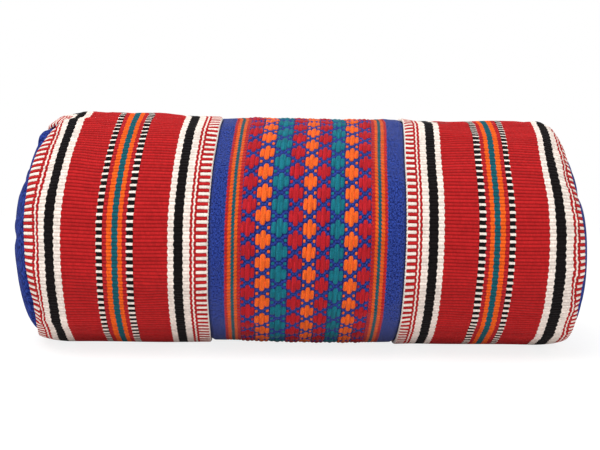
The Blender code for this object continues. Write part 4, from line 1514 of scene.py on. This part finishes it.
def make_metal_material():
    """Brushed nickel-plated zinc, rubbed and a little stained."""
    material, w, shader = new_material("brushed_nickel", 0.34)
    shader.inputs["Metallic"].default_value = 1.0
    place = w.place()
    brushed = w.noise(w.stretched(place, BRUSHED_LINES), 1.0, 3.0, 0.6)
    tone = w.remap(w.noise(place, 260.0, 3.0), 0.35, 0.65, 0.0, 1.0)
    w.feed(shader.inputs["Base Color"], w.mix(tone, COLOURS["nickel_stain"], COLOURS["nickel"]))
    w.feed(shader.inputs["Roughness"], w.remap(brushed, 0.3, 0.7, 0.26, 0.46))
    add_bump(w, shader, brushed, 0.00002)
    return material


# Setting

def make_stage():
    """White floor that keeps the pouch's shadow, and a white backdrop."""
    bm = bmesh.new()
    bmesh.ops.create_grid(bm, x_segments=1, y_segments=1, size=6.0)
    mesh = bpy.data.meshes.new("floor")
    bm.to_mesh(mesh)
    bm.free()
    floor = bpy.data.objects.new("floor", mesh)
    bpy.context.scene.collection.objects.link(floor)
    material = bpy.data.materials.new("white_floor")
    material.use_nodes = True
    w = Wiring(material.node_tree)
    shader = material.node_tree.nodes["Principled BSDF"]
    shader.inputs["Roughness"].default_value = 0.9
    shader.inputs["Specular IOR Level"].default_value = 0.0
    shader.inputs["Emission Color"].default_value = (1.0, 1.0, 1.0, 1.0)
    from_middle = w.node("ShaderNodeVectorMath", operation="LENGTH")
    w.feed(from_middle.inputs[0], w.place())
    far = w.remap(from_middle.outputs["Value"], *FLOOR_FADE, 0.0, 1.0)
    seen = w.seen()
    shown = w.grey(w.remap(far, 0.0, 1.0, FLOOR_SEEN, 0.0))
    w.feed(shader.inputs["Base Color"], w.mix(seen, (FLOOR_WHITE,) * 3, shown))
    glow = w.remap(far, 0.0, 1.0, FLOOR_GLOW, 1.0)
    w.feed(shader.inputs["Emission Strength"], w.times(seen, glow))
    mesh.materials.append(material)


def make_world():
    """Even white surroundings: plain white to the camera, softer as light."""
    world = bpy.data.worlds.new("studio")
    bpy.context.scene.world = world
    world.use_nodes = True
    w = Wiring(world.node_tree)
    background = world.node_tree.nodes["Background"]
    background.inputs["Color"].default_value = (1.0, 1.0, 1.0, 1.0)
    w.feed(background.inputs["Strength"], w.remap(w.seen(), 0.0, 1.0, WORLD_LIGHT, 1.0))


def add_lamp(name, place, target, size, power):
    """A square soft lamp aimed at a point."""
    data = bpy.data.lights.new(name, "AREA")
    data.shape = "SQUARE"
    data.size = size
    data.energy = power
    lamp = bpy.data.objects.new(name, data)
    lamp.location = place
    lamp.rotation_euler = (Vector(target) - Vector(place)).to_track_quat("-Z", "Y").to_euler()
    bpy.context.scene.collection.objects.link(lamp)


def make_camera():
    """The photo's long lens, a little above the pouch and a little to its left."""
    photo_width = 600.0
    focal_pixels = 1249.0
    distance = 0.632
    azimuth = math.radians(-2.0)
    elevation = math.radians(7.5)
    roll = math.radians(1.1)
    pixels_per_metre = focal_pixels / distance
    middle_across = 2.0 / pixels_per_metre
    middle_down = 4.8 / pixels_per_metre
    data = bpy.data.cameras.new("camera")
    data.sensor_width = 36.0
    data.lens = data.sensor_width * focal_pixels / photo_width
    camera = bpy.data.objects.new("camera", data)
    bpy.context.scene.collection.objects.link(camera)
    bpy.context.scene.camera = camera
    back = Vector((
        math.sin(azimuth) * math.cos(elevation),
        -math.cos(azimuth) * math.cos(elevation),
        math.sin(elevation),
    ))
    right = Vector((math.cos(azimuth), math.sin(azimuth), 0.0))
    up = back.cross(right)
    target = Vector((0.0, 0.0, AXIS_HEIGHT)) - right * middle_across + up * middle_down
    camera.location = target + back * distance
    camera.rotation_mode = "QUATERNION"
    camera.rotation_quaternion = (-back).to_track_quat("-Z", "Y") @ Quaternion((0.0, 0.0, 1.0), roll)


make_camera()
make_stage()
make_world()
add_lamp("key_lamp", KEY_PLACE, KEY_TARGET, KEY_SIZE, KEY_POWER)
add_lamp("fill_lamp", FILL_PLACE, FILL_TARGET, FILL_SIZE, FILL_POWER)

fold_field = tidy_folds(simulate_folds())
wool_group = make_wool_group()
crepe_group = make_crepe_group()
materials = {"striped": make_striped_material(wool_group)}
materials["centre"] = make_centre_material(wool_group, crepe_group)
materials["felt"] = make_felt_material()
materials["thread"] = make_plain_cloth_material("sewing_thread", "tape_dark", "felt_blue", 5000.0)
materials["lining"] = make_plain_cloth_material("lining_cotton_cloth", "cotton_dark", "cotton", 2200.0)
materials["tape"] = make_tape_material()
materials["nylon"] = make_nylon_material()
materials["metal"] = make_metal_material()
for colour in ("red", "orange", "teal", "blue"):
    materials["float_" + colour] = make_float_material(colour)

for word, side in (("left", -1.0), ("right", 1.0)):
    make_striped_cloth("striped_cloth_" + word, "striped_panel_" + word, side, materials["striped"])
    make_end_cloth("end_cloth_" + word, "end_disc_" + word, side, materials["felt"])
make_centre_cloth(materials["centre"])
make_floats(materials)
make_zip(materials)
for node in ("lining_barrel", "lining_end_left", "lining_end_right"):
    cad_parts[node].material_slots[0].material = materials["lining"]

bpy.context.scene.view_settings.view_transform = "Standard"
